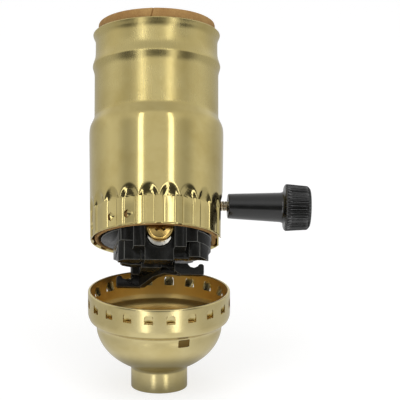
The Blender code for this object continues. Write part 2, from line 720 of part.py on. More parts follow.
def build_housing(interior):
    """The upper moulding: barrel, bosses, channels, switch cavity and lamp seat."""
    radius = body_outer_radius()
    seat_top = BODY_TOP + SEAT_HEIGHT
    barrel = turned([(radius, BOSS_TOP - OVERLAP), (radius, BODY_TOP - 0.4), (radius - 0.4, BODY_TOP),
                     (DISC_RADIUS, BODY_TOP), (DISC_RADIUS, seat_top)], SHELL_FACETS)
    housing = node("switch_housing", barrel, PHENOLIC, interior, 30.0)
    combine(housing, "UNION", prism(flat_outline(radius), 0.0, BOSS_TOP))
    combine(housing, "UNION", prism(foot_outline(radius - 0.15), BODY_BOTTOM, OVERLAP))
    deep = CHANNEL_FLOOR - 2.4
    width = (-BOSS_HALF_WIDTH, BOSS_HALF_WIDTH)
    front = block(width, (-BOSS_FACE, -deep), (FRONT_BOSS_BOTTOM, BOSS_TOP - 0.1))
    rear = block(width, (deep, BOSS_FACE), (REAR_BOSS_BOTTOM, BOSS_TOP - 0.1))
    combine(housing, "UNION", together([front, rear]))
    for skirt in skirts():
        combine(housing, "UNION", skirt)

    for channel, pocket in (terminal_recess(FRONT_BOSS_BOTTOM, -1), terminal_recess(REAR_BOSS_BOTTOM, 1)):
        combine(housing, "DIFFERENCE", channel)
        combine(housing, "DIFFERENCE", pocket)
    groove_half = STRAP_HALF_WIDTH + RUN_GAP
    groove = block((-groove_half, groove_half), (CHANNEL_FLOOR + 0.01, radius + THROUGH),
                   (BOSS_TOP - STRAP_GROOVE_DROP, seat_top + THROUGH))
    combine(housing, "DIFFERENCE", groove)

    cavity = block((-CAVITY_HALF_LENGTH, CAVITY_HALF_LENGTH), (-CAVITY_HALF_WIDTH, CAVITY_HALF_WIDTH),
                   (BODY_BOTTOM - THROUGH, CAVITY_TOP))
    well = rod(WELL_RADIUS, WELL_FLOOR, seat_top + THROUGH, 24)
    combine(housing, "DIFFERENCE", together([cavity, well]))

    bearing_radius = STEM_RADIUS + RUN_GAP
    bore_radius = bearing_radius + BUSH_WALL + RUN_GAP
    bearing = moved(rod(bearing_radius, STEM_INNER_END - RUN_GAP, -CAVITY_HALF_LENGTH + OVERLAP, 16), ALONG_X)
    bore = moved(rod(bore_radius, CAVITY_HALF_LENGTH - OVERLAP, radius + THROUGH, 20), ALONG_X)
    slot = block((-FINGER_WIDTH - RUN_GAP, RUN_GAP), (-CHANNEL_FLOOR - OVERLAP, -CAVITY_HALF_WIDTH + OVERLAP),
                 (finger_top() - PLATE_METAL - RUN_GAP, finger_top() + RUN_GAP))
    holes = [shifted(bearing, z=STEM_HEIGHT), shifted(bore, z=STEM_HEIGHT), slot,
             screw_hole(-CHANNEL_FLOOR - OVERLAP, -CHANNEL_FLOOR + screw_reach()),
             screw_hole(CHANNEL_FLOOR + OVERLAP, CHANNEL_FLOOR - screw_reach()),
             rivet_hole(CENTRE_RIVET_OFFSET, 0.0, CAVITY_TOP - OVERLAP, WELL_FLOOR + OVERLAP)]
    for side in (-1, 1):
        holes.append(rivet_hole(0.0, side * SHELL_RIVET_OFFSET, seat_top - SHELL_RIVET_DEPTH,
                                seat_top + THROUGH))
        holes.append(rivet_hole(side * BODY_RIVET_OFFSET, 0.0, BODY_BOTTOM - THROUGH,
                                BODY_BOTTOM + BODY_RIVET_DEPTH))
    combine(housing, "DIFFERENCE", together(holes))


def screw_reach():
    """How far a terminal screw's hole goes into the switch body."""
    return TERMINAL_SHANK_LENGTH - PLATE_METAL - SEAT_GAP


def finger_top():
    """The height of the front terminal's finger where it enters the cavity."""
    return BOSS_TOP - 2.6


def foot_section(tip, heel, bottom, top):
    """A foot's side view: flat sole, raised toe, scooped instep and a sloped heel."""
    way = 1.0 if heel > tip else -1.0
    return [(tip, bottom + 0.3), (tip + 0.3 * way, bottom), (heel, bottom), (heel + 1.6 * way, bottom + 1.0),
            (heel + 1.6 * way, top), (heel - 1.9 * way, top), (heel - 2.6 * way, top - 0.9),
            (0.5 * (tip + heel) - 0.5 * way, top - 1.15), (tip + 1.7 * way, top - 0.75),
            (tip + 1.2 * way, top - 0.1), (tip + 0.4 * way, top - 0.1), (tip, top - 0.5)]


def build_base(interior):
    """The lower moulding: closing plate, shank, and the two anchor feet joined by a web."""
    plate_top = BODY_BOTTOM - SEAT_GAP
    plate_bottom = plate_top - PLATE_THICKNESS
    foot_top = foot_height()
    front = -SKIRT_BACK + SEAT_GAP
    half = 0.5 * FOOT_THICKNESS
    chamfer = 0.3 * PLATE_REAR
    outline = [(-PLATE_HALF_LENGTH, front), (PLATE_HALF_LENGTH - chamfer, front),
               (PLATE_HALF_LENGTH, front + chamfer), (PLATE_HALF_LENGTH, PLATE_REAR - chamfer),
               (PLATE_HALF_LENGTH - chamfer, PLATE_REAR),
               (chamfer - PLATE_HALF_LENGTH, PLATE_REAR), (-PLATE_HALF_LENGTH, PLATE_REAR - chamfer)]
    base = node("base_anchor", prism(outline, plate_bottom, plate_top), PHENOLIC, interior, 30.0)
    root = plate_bottom + OVERLAP
    hub = block((SHANK_LEFT, HUB_RIGHT), (SHANK_FRONT, SHANK_REAR), (SHANK_BOTTOM, root))
    shank = block((HUB_RIGHT - OVERLAP, SHANK_RIGHT), (SHANK_FRONT + HUB_STEP, SHANK_REAR - 0.1),
                  (SHANK_BOTTOM + 0.4, root + 0.05))
    neck = block((NECK_LEFT, NECK_LEFT + NECK_WIDTH), (SHANK_REAR - 0.6, FOOT_SETBACK + half - 0.1),
                 (SHANK_BOTTOM + 0.2, root - 0.05))
    left = front_prism(foot_section(LEFT_FOOT_TIP, LEFT_FOOT_HEEL, FOOT_SOLE, foot_top),
                       FOOT_SETBACK - half, FOOT_SETBACK + half)
    right = front_prism(foot_section(RIGHT_FOOT_TIP, RIGHT_FOOT_HEEL, FOOT_SOLE, foot_top),
                        -FOOT_SETBACK - half, -FOOT_SETBACK + half)
    run = Vector((RIGHT_FOOT_HEEL - LEFT_FOOT_HEEL, -2 * FOOT_SETBACK, 0.0))
    length = run.length
    sole, arch = FOOT_SOLE + 0.05, FOOT_SOLE + WEB_ARCH
    top = FOOT_SOLE + WEB_HEIGHT
    web_side = [(0.0, sole), (0.06 * length, sole), (0.38 * length, arch), (0.66 * length, arch),
                (0.94 * length, sole), (length, sole), (length, top - 1.0), (0.8 * length, top - 1.0),
                (0.7 * length, top), (0.0, top)]
    turn = Matrix.Rotation(math.atan2(run.y, run.x), 4, "Z")
    web = shifted(moved(front_prism(web_side, 0.1 - half, half - 0.1), turn), LEFT_FOOT_HEEL, FOOT_SETBACK)
    rib_side = [(RIB_LEFT, root + 0.02), (RIB_LEFT, RIB_BOTTOM + 0.8), (RIB_LEFT + 0.6, RIB_BOTTOM + 0.35),
                (0.5 * (RIB_LEFT + SHANK_LEFT), RIB_BOTTOM), (SHANK_LEFT + OVERLAP, RIB_BOTTOM),
                (SHANK_LEFT + OVERLAP, root + 0.02)]
    rib = front_prism(rib_side, SHANK_FRONT + 0.1, SHANK_FRONT + 0.1 + RIB_DEPTH)
    for piece in (hub, shank, neck, left, right, web, rib):
        combine(base, "UNION", piece)
    holes = [rivet_hole(side * BODY_RIVET_OFFSET, 0.0, plate_bottom - THROUGH, plate_top + THROUGH)
             for side in (-1, 1)]
    combine(base, "DIFFERENCE", together(holes))
    for side, name in ((-1, "body_rivet_left"), (1, "body_rivet_right")):
        head_top = plate_bottom - SEAT_GAP
        head = head_top - RIVET_HEAD_THICKNESS
        line = [(RIVET_HEAD_RADIUS - 0.3, head), (RIVET_HEAD_RADIUS, head + 0.2),
                (RIVET_HEAD_RADIUS, head_top), (RIVET_RADIUS, head_top),
                (RIVET_RADIUS, BODY_BOTTOM + BODY_RIVET_DEPTH - RUN_GAP)]
        node(name, shifted(turned(line, 12), x=side * BODY_RIVET_OFFSET), STEEL, interior)


def foot_height():
    """The height of the feet's toes, just under the front skirts."""
    return SKIRT_BOTTOM - SEAT_GAP


def build_lamp_seat(interior):
    """The fibre disc, the threaded screw shell, its rivets and the centre contact."""
    disc_foot = BODY_TOP + SEAT_HEIGHT + SEAT_GAP
    disc_top = disc_foot + DISC_THICKNESS
    disc = node("shell_disc", washer(DISC_HOLE, DISC_RADIUS, disc_foot, disc_top, 24), FIBRE, interior)
    groove_half = STRAP_HALF_WIDTH + RUN_GAP
    holes = [rivet_hole(0.0, side * SHELL_RIVET_OFFSET, disc_foot - THROUGH, disc_top + THROUGH)
             for side in (-1, 1)]
    holes.append(block((-groove_half, groove_half), (CHANNEL_FLOOR, DISC_RADIUS + THROUGH),
                       (disc_foot - THROUGH, disc_top + THROUGH)))
    combine(disc, "DIFFERENCE", together(holes))

    floor = screw_floor()
    angles = even_angles(SCREW_FACETS)
    crest = SCREW_MAJOR_RADIUS
    rows = 23
    run_in = 1.2
    top = floor + SCREW_LENGTH

    def thread(height, inset):
        fade = min(1.0, max(0.0, (height - floor - run_in) / run_in), max(0.0, (top - height) / run_in))
        wave = 0.5 + 0.5 * np.cos(2.0 * math.pi * height / SCREW_PITCH - angles)
        return circle(crest - inset - SCREW_THREAD_DEPTH * (1.0 - wave) * fade, height, angles)

    heights = np.linspace(floor + 0.9, top, rows)
    corner = crest - 0.5
    rings = [circle(SCREW_FLOOR_HOLE, floor, angles), circle(corner, floor, angles)]
    rings += [thread(height, 0.0) for height in heights]
    rings += [thread(height, SCREW_WALL) for height in heights[::-1]]
    rings += [circle(corner - SCREW_WALL, floor + SCREW_WALL, angles),
              circle(SCREW_FLOOR_HOLE, floor + SCREW_WALL, angles)]
    shell = node("screw_shell", skin(rings, True), NICKEL, interior, 50.0)
    holes = [rivet_hole(0.0, side * SHELL_RIVET_OFFSET, floor - THROUGH, floor + THROUGH) for side in (-1, 1)]
    combine(shell, "DIFFERENCE", together(holes))
    head = floor + SCREW_WALL + SEAT_GAP
    shank_foot = BODY_TOP + SEAT_HEIGHT - SHELL_RIVET_DEPTH + RUN_GAP
    for side, name in ((-1, "shell_rivet_front"), (1, "shell_rivet_rear")):
        line = [(RIVET_RADIUS, shank_foot), (RIVET_RADIUS, head), (RIVET_HEAD_RADIUS, head),
                (RIVET_HEAD_RADIUS, head + 0.35), (RIVET_HEAD_RADIUS - 0.6, head + RIVET_HEAD_THICKNESS)]
        node(name, shifted(turned(line, 12), y=side * SHELL_RIVET_OFFSET), TURNED_BRASS, interior)

    base = WELL_FLOOR + SEAT_GAP + 0.5 * CONTACT_THICKNESS
    tip = floor + CONTACT_RISE
    path = [(WELL_RADIUS - 0.9, base), (-3.2, base), (-3.7, base + 0.6), (-3.5, floor + 1.0),
            (-1.5, tip - 0.5), (0.3, tip), (1.6, tip - 0.7)]
    tongue = front_prism(strip(path, CONTACT_THICKNESS), -0.5 * CONTACT_WIDTH, 0.5 * CONTACT_WIDTH)
    contact = node("centre_contact", tongue, TURNED_BRASS, interior)
    combine(contact, "DIFFERENCE", rivet_hole(CENTRE_RIVET_OFFSET, 0.0, WELL_FLOOR, base + THROUGH))

    wheel_top = STEM_HEIGHT + WHEEL_RADIUS + RUN_GAP
    leaf = CAVITY_TOP - SEAT_GAP - 0.5 * CONTACT_THICKNESS
    spring_path = [(4.7, leaf), (0.6, leaf), (-0.4, wheel_top + 0.5 * CONTACT_THICKNESS),
                   (-3.0, wheel_top + 0.5 * CONTACT_THICKNESS)]
    leaf_spring = front_prism(strip(spring_path, CONTACT_THICKNESS), -SPRING_HALF_WIDTH, SPRING_HALF_WIDTH)
    spring = node("lamp_spring", leaf_spring, TURNED_BRASS, interior)
    combine(spring, "DIFFERENCE", rivet_hole(CENTRE_RIVET_OFFSET, 0.0, leaf - THROUGH, leaf + THROUGH))
    low_head = leaf - 0.5 * CONTACT_THICKNESS - SEAT_GAP
    high_head = base + 0.5 * CONTACT_THICKNESS + SEAT_GAP
    line = [(RIVET_HEAD_RADIUS - 0.5, low_head - RIVET_HEAD_THICKNESS),
            (RIVET_HEAD_RADIUS - 0.2, low_head - 0.2), (RIVET_HEAD_RADIUS - 0.2, low_head),
            (RIVET_RADIUS, low_head), (RIVET_RADIUS, high_head), (RIVET_HEAD_RADIUS, high_head),
            (RIVET_HEAD_RADIUS - 0.4, high_head + RIVET_HEAD_THICKNESS)]
    node("centre_rivet", shifted(turned(line, 12), x=CENTRE_RIVET_OFFSET), TURNED_BRASS, interior)


def screw_floor():
    """The height of the screw shell's floor, above the disc and the neutral strap."""
    return BODY_TOP + SEAT_HEIGHT + SEAT_GAP + DISC_THICKNESS + SEAT_GAP + PLATE_METAL + SEAT_GAP


def terminal_screw(name, side, material, interior):
    """A binding-head terminal screw with a cross recess, on the front (-1) or rear (+1)."""
    under = CHANNEL_FLOOR + SEAT_GAP + PLATE_METAL + SEAT_GAP
    head = under + TERMINAL_HEAD_THICKNESS
    tip = under - TERMINAL_SHANK_LENGTH + SEAT_GAP
    line = [(TERMINAL_SHANK_RADIUS - 0.4, tip), (TERMINAL_SHANK_RADIUS, tip + 0.5),
            (TERMINAL_SHANK_RADIUS, under), (TERMINAL_HEAD_RADIUS, under), (TERMINAL_HEAD_RADIUS, head - 0.8),
            (TERMINAL_HEAD_RADIUS - 0.5, head - 0.25), (TERMINAL_HEAD_RADIUS - 1.5, head)]
    body = turned(line, 28)
    turn = TO_FRONT if side < 0 else Matrix.Rotation(math.pi, 4, "Z") @ TO_FRONT
    screw = node(name, shifted(moved(body, turn), z=TERMINAL_HEIGHT), material, interior)
    bars = [block((-0.45, 0.45), (-2.0, 2.0), (head - 0.8, head + THROUGH)),
            block((-2.0, 2.0), (-0.45, 0.45), (head - 0.8, head + THROUGH))]
    for bar in bars:
        combine(screw, "DIFFERENCE", shifted(moved(bar, turn), z=TERMINAL_HEIGHT))


def build_terminals(interior):
    """The two terminal plates with their screws; each plate is one stamping."""
    near = CHANNEL_FLOOR + SEAT_GAP
    far = near + PLATE_METAL
    foot = FRONT_BOSS_BOTTOM + CHANNEL_HALF_WIDTH
    outline = stadium(TERMINAL_HALF_WIDTH, foot, 0.0)
    face = [(x, z) for x, z in outline if z < foot + 0.01]
    top = finger_top()
    hot_face = [(TERMINAL_HALF_WIDTH, top), (-TERMINAL_HALF_WIDTH, top)] + face
    hot = node("hot_terminal_plate", front_prism(hot_face, -far, -near), NICKEL, interior)
    wheel = WHEEL_RADIUS + RUN_GAP + 0.5 * PLATE_METAL
    wall = CAVITY_HALF_WIDTH - SEAT_GAP - 0.5 * PLATE_METAL
    level = top - 0.5 * PLATE_METAL
    path = [(-far + 0.1, level), (-wall, level), (-wall, STEM_HEIGHT + 1.6), (-wheel, STEM_HEIGHT),
            (-wall + 0.2, STEM_HEIGHT - 3.0)]
    combine(hot, "UNION", side_prism(strip(path, PLATE_METAL - 0.02), -FINGER_WIDTH, 0.0))
    combine(hot, "DIFFERENCE", screw_hole(-near + THROUGH, -far - THROUGH))

    lift = REAR_BOSS_BOTTOM - FRONT_BOSS_BOTTOM
    neutral_face = [(TERMINAL_HALF_WIDTH, top), (-TERMINAL_HALF_WIDTH, top)] + [(x, z + lift) for x, z in face]
    neutral = node("neutral_terminal_plate", front_prism(neutral_face, near, far), NICKEL, interior)
    leaf = screw_floor() - SEAT_GAP - 0.5 * PLATE_METAL
    middle = 0.5 * (near + far)
    strap_path = [(middle, top - OVERLAP), (middle, leaf), (SHELL_RIVET_OFFSET - 2.4, leaf)]
    strap = strip(strap_path, PLATE_METAL - 0.02)
    combine(neutral, "UNION", side_prism(strap, -STRAP_HALF_WIDTH, STRAP_HALF_WIDTH))
    holes = [screw_hole(near - THROUGH, far + THROUGH),
             rivet_hole(0.0, SHELL_RIVET_OFFSET, leaf - THROUGH, leaf + THROUGH)]
    combine(neutral, "DIFFERENCE", together(holes))
    terminal_screw("hot_terminal_screw", -1, TURNED_BRASS, interior)
    terminal_screw("neutral_terminal_screw", 1, NICKEL, interior)


# Stem, cam and knob

def lobed(radius, flat, count=24):
    """A ring of radii for a drum with four flats."""
    angles = even_angles(count)
    from_flat = np.abs((angles + math.pi / 4) % (math.pi / 2) - math.pi / 4)
    return angles, np.minimum(radius, flat / np.cos(from_flat))


def build_knob(interior):
    """The bush in the switch body, and the stem that turns in it with cam and knob."""
    axis = frame("knob_axis", interior, (0.0, 0.0, STEM_HEIGHT), (90.0, 0.0, 90.0))
    bore = STEM_RADIUS + RUN_GAP
    flange = CAVITY_HALF_LENGTH - SEAT_GAP
    inner_end = flange - STEM_BUSH_FLANGE_THICKNESS
    bush = [(bore, inner_end), (STEM_BUSH_FLANGE, inner_end), (STEM_BUSH_FLANGE, flange),
            (bore + BUSH_WALL, flange), (bore + BUSH_WALL, STEM_BUSH_END), (bore, STEM_BUSH_END)]
    node("stem_bushing", turned(bush, 24, True), TURNED_BRASS, axis)
    pin = [(STEM_RADIUS - 0.2, STEM_INNER_END), (STEM_RADIUS, STEM_INNER_END + 0.3),
           (STEM_RADIUS, STEM_OUTER_END - 0.3), (STEM_RADIUS - 0.2, STEM_OUTER_END)]
    node("stem", turned(pin, 20), STEEL, axis)
    clip_top = inner_end - SEAT_GAP
    node("stem_clip", washer(bore, CLIP_RADIUS, clip_top - CLIP_THICKNESS, clip_top, 16), STEEL, axis)

    cam_top = clip_top - CLIP_THICKNESS - SEAT_GAP
    cam_foot = cam_top - CAM_LENGTH
    step = cam_foot + SEAT_GAP + WHEEL_THICKNESS + SEAT_GAP
    cam = [(bore, cam_foot), (CAM_HUB_RADIUS, cam_foot), (CAM_HUB_RADIUS, step), (CAM_RADIUS, step),
           (CAM_RADIUS, cam_top), (bore, cam_top)]
    node("switch_cam", turned(cam, 24, True), FIBRE, axis)
    angles, rim = lobed(WHEEL_RADIUS, WHEEL_FLAT)
    wheel_foot = cam_foot + SEAT_GAP
    hole = CAM_HUB_RADIUS + RUN_GAP
    wheel_end = wheel_foot + WHEEL_THICKNESS
    wheel = [circle(hole, wheel_foot, angles), circle(rim, wheel_foot, angles),
             circle(rim, wheel_end, angles), circle(hole, wheel_end, angles)]
    node("cam_contact", skin(wheel, True), TURNED_BRASS, axis)

    end = KNOB_FOOT + KNOB_LENGTH
    teeth = even_angles(2 * KNOB_SERRATIONS)
    relief = np.tile([0.0, KNOB_SERRATION_DEPTH], KNOB_SERRATIONS)
    smooth = even_angles(24)
    rings = [circle(bore, end - KNOB_WEB, smooth), circle(bore, KNOB_FOOT, smooth),
             circle(KNOB_FOOT_RADIUS - 0.3, KNOB_FOOT, smooth),
             circle(KNOB_FOOT_RADIUS, KNOB_FOOT + 0.3, smooth),
             circle(KNOB_SLEEVE_RADIUS, KNOB_HEAD_START, smooth),
             circle(KNOB_HEAD_RADIUS - KNOB_EDGE - 0.5 * relief, KNOB_HEAD_START, teeth),
             circle(KNOB_HEAD_RADIUS - relief, KNOB_HEAD_START + KNOB_EDGE, teeth),
             circle(KNOB_END_RADIUS - relief, end - 0.8, teeth),
             circle(KNOB_END_RADIUS - 0.5, end - 0.3, smooth),
             circle(0.55 * KNOB_END_RADIUS, end, smooth)]
    node("knob", skin(rings, False), KNOB_BLACK, axis)


# The whole socket

def shell_place():
    """Where the shell's lower edge is centred, with the left foot in the cap's rim.

    The foot's upper rear corner stands one seat gap inside the cap's wall, and its sole
    reaches one dip below the rim.
    """
    lean, twist = math.radians(LEAN_DEG), math.radians(TWIST_DEG)
    rear = FOOT_SETBACK + 0.5 * FOOT_THICKNESS

    def in_shell(x, y):
        return x * math.cos(twist) - y * math.sin(twist), x * math.sin(twist) + y * math.cos(twist)

    tip_x, tip_y = in_shell(LEFT_FOOT_TIP, rear)
    corner_x = tip_x + SIDE_SHIFT
    corner_y = tip_y * math.cos(lean) + foot_height() * math.sin(lean)
    reach = math.sqrt((CAP_RADIUS - CAP_WALL - SEAT_GAP) ** 2 - corner_x ** 2)
    sole_drop = -tip_y * math.sin(lean) + FOOT_SOLE * math.cos(lean)
    return SIDE_SHIFT, reach - corner_y, CAP_HEIGHT - FOOT_DIP - sole_drop


build_cap()
SHELL = frame("shell", None, shell_place(), (-LEAN_DEG, 0.0, 0.0))
INTERIOR = frame("interior", SHELL, (0.0, 0.0, 0.0), (0.0, 0.0, TWIST_DEG))
build_shell(SHELL)
build_housing(INTERIOR)
build_base(INTERIOR)
build_lamp_seat(INTERIOR)
build_terminals(INTERIOR)
build_knob(INTERIOR)
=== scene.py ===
"""Looks of the turn knob lamp socket: brass shell and cap, black moulding, cardboard liner.

Every size is in millimetres until a mesh is laid down, where it becomes metres.  The cap
stands upright on the origin; the shell, the switch body and the knob share one leaning
frame.  New pieces are rows and columns of points worked out with numpy.
"""

import logging
import math
from dataclasses import dataclass
from enum import Enum

import bmesh
import bpy
import numpy as np
from mathutils import Matrix, Vector


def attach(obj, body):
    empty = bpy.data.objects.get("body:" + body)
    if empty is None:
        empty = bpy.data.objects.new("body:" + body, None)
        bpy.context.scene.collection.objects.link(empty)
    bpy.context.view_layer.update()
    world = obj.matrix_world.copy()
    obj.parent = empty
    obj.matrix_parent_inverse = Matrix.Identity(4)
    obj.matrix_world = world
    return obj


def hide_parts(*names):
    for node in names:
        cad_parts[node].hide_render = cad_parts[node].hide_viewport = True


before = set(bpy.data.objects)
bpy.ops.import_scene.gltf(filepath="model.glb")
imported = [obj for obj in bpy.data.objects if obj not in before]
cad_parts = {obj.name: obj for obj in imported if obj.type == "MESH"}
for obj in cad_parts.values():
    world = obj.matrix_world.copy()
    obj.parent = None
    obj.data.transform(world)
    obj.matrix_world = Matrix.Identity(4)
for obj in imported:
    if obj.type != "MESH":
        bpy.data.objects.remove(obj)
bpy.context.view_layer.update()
LOG = logging.getLogger("lamp_socket")
MM = 0.001
WORN_OR_PAINTED_LIGHT = "worn_or_painted_light"   # a point attribute, 1 where a sheet is rougher with orange peel: the shell's worn tube, and the cap's inner skin, whose colour is painted light
PAST = 1.0      # how far a cutter reaches past the wall that it cuts

Piece = bpy.types.Object
Socket = bpy.types.NodeSocket
Colour = tuple[float, float, float, float]
Solid = tuple[np.ndarray, list[list[int]]]      # the points and faces of a closed shape


# Colours and nodes

def linear(hex_colour: str) -> Colour:
    """Turns an sRGB hex colour into linear light.

    Args:
        hex_colour: Six hex digits, such as "B8A878".

    Returns:
        Red, green, blue and alpha, linear.
    """
    channels = np.array([int(hex_colour[i:i + 2], 16) for i in (0, 2, 4)]) / 255.0
    light = np.where(channels <= 0.04045, channels / 12.92, ((channels + 0.055) / 1.055) ** 2.4)
    return (*light.tolist(), 1.0)


def grey(value: float) -> Colour:
    """A neutral linear colour."""
    return (value, value, value, 1.0)


def add_node(tree: bpy.types.NodeTree, kind: str, settings: dict | None = None, inputs: dict | None = None,
             stops: list[tuple[float, Colour]] | None = None) -> bpy.types.Node:
    """Adds a shader node with its settings and links.

    Args:
        tree: The node tree.
        kind: The node's type name.
        settings: Property names and values.
        inputs: Socket names or numbers, each with a value or with the socket it is fed from.
        stops: A colour ramp's positions from 0 to 1, each with a linear colour.

    Returns:
        The new node.
    """
    made = tree.nodes.new(kind)
    for name, value in (settings or {}).items():
        setattr(made, name, value)
    for name, value in (inputs or {}).items():
        if isinstance(value, Socket):
            tree.links.new(value, made.inputs[name])
        else:
            made.inputs[name].default_value = value
    if stops:
        elements = made.color_ramp.elements
        for _ in stops[2:]:
            elements.new(0.5)
        for element, (position, colour) in zip(elements, stops):
            element.position = position
            element.color = colour
    return made


class Grain(Enum):
    """Which way the fine lines of a metal's making run over the piece's own UV map."""

    ROUND = "round"      # turned or spun: lines run round the axis
    ALONG = "along"      # drawn: lines run along the axis
    NONE = "none"        # plated or tumbled: no direction


@dataclass(frozen=True)
class Finish:
    """What a piece is made of: its main and its second colour in hex digits, and its roughness."""

    name: str
    colour: str
    second: str
    roughness: float

    def looks(self, tree: bpy.types.NodeTree, place: Socket, unrolled: Socket) -> dict:
        """What the main shader is fed with.

        Args:
            tree: The node tree.
            place: The place on the object, in metres.
            unrolled: The place on the piece's UV map, in metres.

        Returns:
            The shader's inputs, as add_node takes them.
        """
        raise NotImplementedError

    def material(self) -> bpy.types.Material:
        """Builds the node material.

        Returns:
            The material.
        """
        made = bpy.data.materials.new(self.name)
        made.use_nodes = True
        tree = made.node_tree
        tree.nodes.clear()
        place = add_node(tree, "ShaderNodeTexCoord").outputs
        fed = self.looks(tree, place["Object"], place["UV"])
        shader = add_node(tree, "ShaderNodeBsdfPrincipled", None, fed)
        add_node(tree, "ShaderNodeOutputMaterial", None, {"Surface": shader.outputs["BSDF"]})
        return made


@dataclass(frozen=True)
class Metal(Finish):
    """A bare or plated metal with fine making lines; its second colour is that of soft stains."""

    spread: float = 0.06        # how far roughness wanders
    grain: Grain = Grain.NONE
    grain_mm: float = 0.25      # spacing of the making lines, coarser than real so that they show
    slimness: float = 0.02      # a making line's width as a share of its length
    relief_mm: float = 0.004    # height of the making lines
    stain_mm: float = 9.0       # size of the soft stains
    anisotropy: float = 0.0
    worn_or_painted_light: float | None = None   # roughness added where the WORN_OR_PAINTED_LIGHT attribute is 1
    painted_light_colour: str = ""            # painted light: a warmer yellow where the mark is 1, for the light bouncing round inside the cup; else the same
    peel_mm: float = 0.55       # spacing of the lacquer's orange peel there
    peel_relief_mm: float = 0.012

    def looks(self, tree: bpy.types.NodeTree, place: Socket, unrolled: Socket) -> dict:
        """What the main shader is fed with.

        Args:
            tree: The node tree.
            place: The place on the object, in metres.
            unrolled: The place on the piece's UV map, in metres.

        Returns:
            The shader's inputs, as add_node takes them.
        """
        fed = {"Metallic": 1.0, "Anisotropic": self.anisotropy}
        where = place
        if self.grain is not Grain.NONE:
            goes_round = self.grain is Grain.ROUND
            scale = (self.slimness, 1.0, 1.0) if goes_round else (1.0, self.slimness, 1.0)
            stretch = add_node(tree, "ShaderNodeMapping", None, {"Vector": unrolled, "Scale": scale})
            where = stretch.outputs["Vector"]
            if self.anisotropy:
                way = add_node(tree, "ShaderNodeTangent", {"direction_type": "UV_MAP", "uv_map": "UVMap"})
                fed["Tangent"] = way.outputs["Tangent"]
                fed["Anisotropic Rotation"] = 0.25 if goes_round else 0.0
        stains = add_node(tree, "ShaderNodeTexNoise", None,
                          {"Vector": place, "Scale": 1.0 / (self.stain_mm * MM), "Detail": 5.0,
                           "Roughness": 0.62}).outputs["Fac"]
        lines = add_node(tree, "ShaderNodeTexNoise", None,
                         {"Vector": where, "Scale": 1.0 / (self.grain_mm * MM), "Detail": 3.0}).outputs["Fac"]
        colour = add_node(tree, "ShaderNodeValToRGB", None, {"Fac": stains},
                          [(0.42, linear(self.colour)), (0.74, linear(self.second))]).outputs["Color"]
        wander = add_node(tree, "ShaderNodeMix", {"data_type": "FLOAT"}, {"Factor": 0.5, 2: stains, 3: lines})
        rough = add_node(tree, "ShaderNodeMapRange", None,
                         {"Value": wander.outputs[0], "From Min": 0.3, "From Max": 0.7,
                          "To Min": self.roughness - self.spread,
                          "To Max": self.roughness + self.spread}).outputs["Result"]
        normal = add_node(tree, "ShaderNodeBump", None,
                          {"Height": lines, "Strength": 1.0,
                           "Distance": self.relief_mm * MM}).outputs["Normal"]
        if self.worn_or_painted_light is not None:
            mark = add_node(tree, "ShaderNodeAttribute", {"attribute_name": WORN_OR_PAINTED_LIGHT}).outputs["Fac"]
            rough = add_node(tree, "ShaderNodeMath", {"operation": "MULTIPLY_ADD"},
                             {0: mark, 1: self.worn_or_painted_light, 2: rough}).outputs["Value"]
            peel = add_node(tree, "ShaderNodeTexNoise", None,
                            {"Vector": place, "Scale": 1.0 / (self.peel_mm * MM), "Detail": 2.0})
            height = add_node(tree, "ShaderNodeMath", {"operation": "MULTIPLY"},
                              {0: peel.outputs["Fac"], 1: mark})
            normal = add_node(tree, "ShaderNodeBump", None,
                              {"Height": height.outputs["Value"], "Normal": normal, "Strength": 1.0,
                               "Distance": self.peel_relief_mm * MM}).outputs["Normal"]
            # Painted light: where marked, the colour turns to a warmer yellow that stands for light bouncing
            # round inside the cup.
            if self.painted_light_colour:
                colour = add_node(tree, "ShaderNodeMix", {"data_type": "RGBA"},
                                  {"Factor": mark, 6: colour, 7: linear(self.painted_light_colour)}).outputs[2]
        return {**fed, "Base Color": colour, "Roughness": rough, "Normal": normal}


@dataclass(frozen=True)
class Moulding(Finish):
    """A moulded plastic: filler specks of the second colour under a polished skin, with flow marks."""

    speck_mm: float = 0.35      # size of the filler specks, coarser than real so that they show
    flow_mm: float = 3.0
    relief_mm: float = 0.006
    shine: float = 0.5          # share of the plain reflection, 0.5 being the whole

    def looks(self, tree: bpy.types.NodeTree, place: Socket, unrolled: Socket) -> dict:
        """What the main shader is fed with.

        Args:
            tree: The node tree.
            place: The place on the object, in metres.
            unrolled: The place on the piece's UV map, which isn't used.

        Returns:
            The shader's inputs, as add_node takes them.
        """
        specks = add_node(tree, "ShaderNodeTexNoise", None,
                          {"Vector": place, "Scale": 1.0 / (self.speck_mm * MM),
                           "Detail": 2.0}).outputs["Fac"]
        flow = add_node(tree, "ShaderNodeTexNoise", None,
                        {"Vector": place, "Scale": 1.0 / (self.flow_mm * MM), "Detail": 4.0,
                         "Distortion": 0.6}).outputs["Fac"]
        colour = add_node(tree, "ShaderNodeValToRGB", None, {"Fac": specks},
                          [(0.45, linear(self.colour)), (0.80, linear(self.second))])
        rough = add_node(tree, "ShaderNodeMapRange", None,
                         {"Value": flow, "From Min": 0.3, "From Max": 0.7,
                          "To Min": self.roughness - 0.07, "To Max": self.roughness + 0.10})
        both = add_node(tree, "ShaderNodeMix", {"data_type": "FLOAT"}, {"Factor": 0.4, 2: flow, 3: specks})
        bump = add_node(tree, "ShaderNodeBump", None,
                        {"Height": both.outputs[0], "Strength": 1.0, "Distance": self.relief_mm * MM})
        return {"IOR": 1.6, "Specular IOR Level": self.shine, "Base Color": colour.outputs["Color"],
                "Roughness": rough.outputs["Result"], "Normal": bump.outputs["Normal"]}


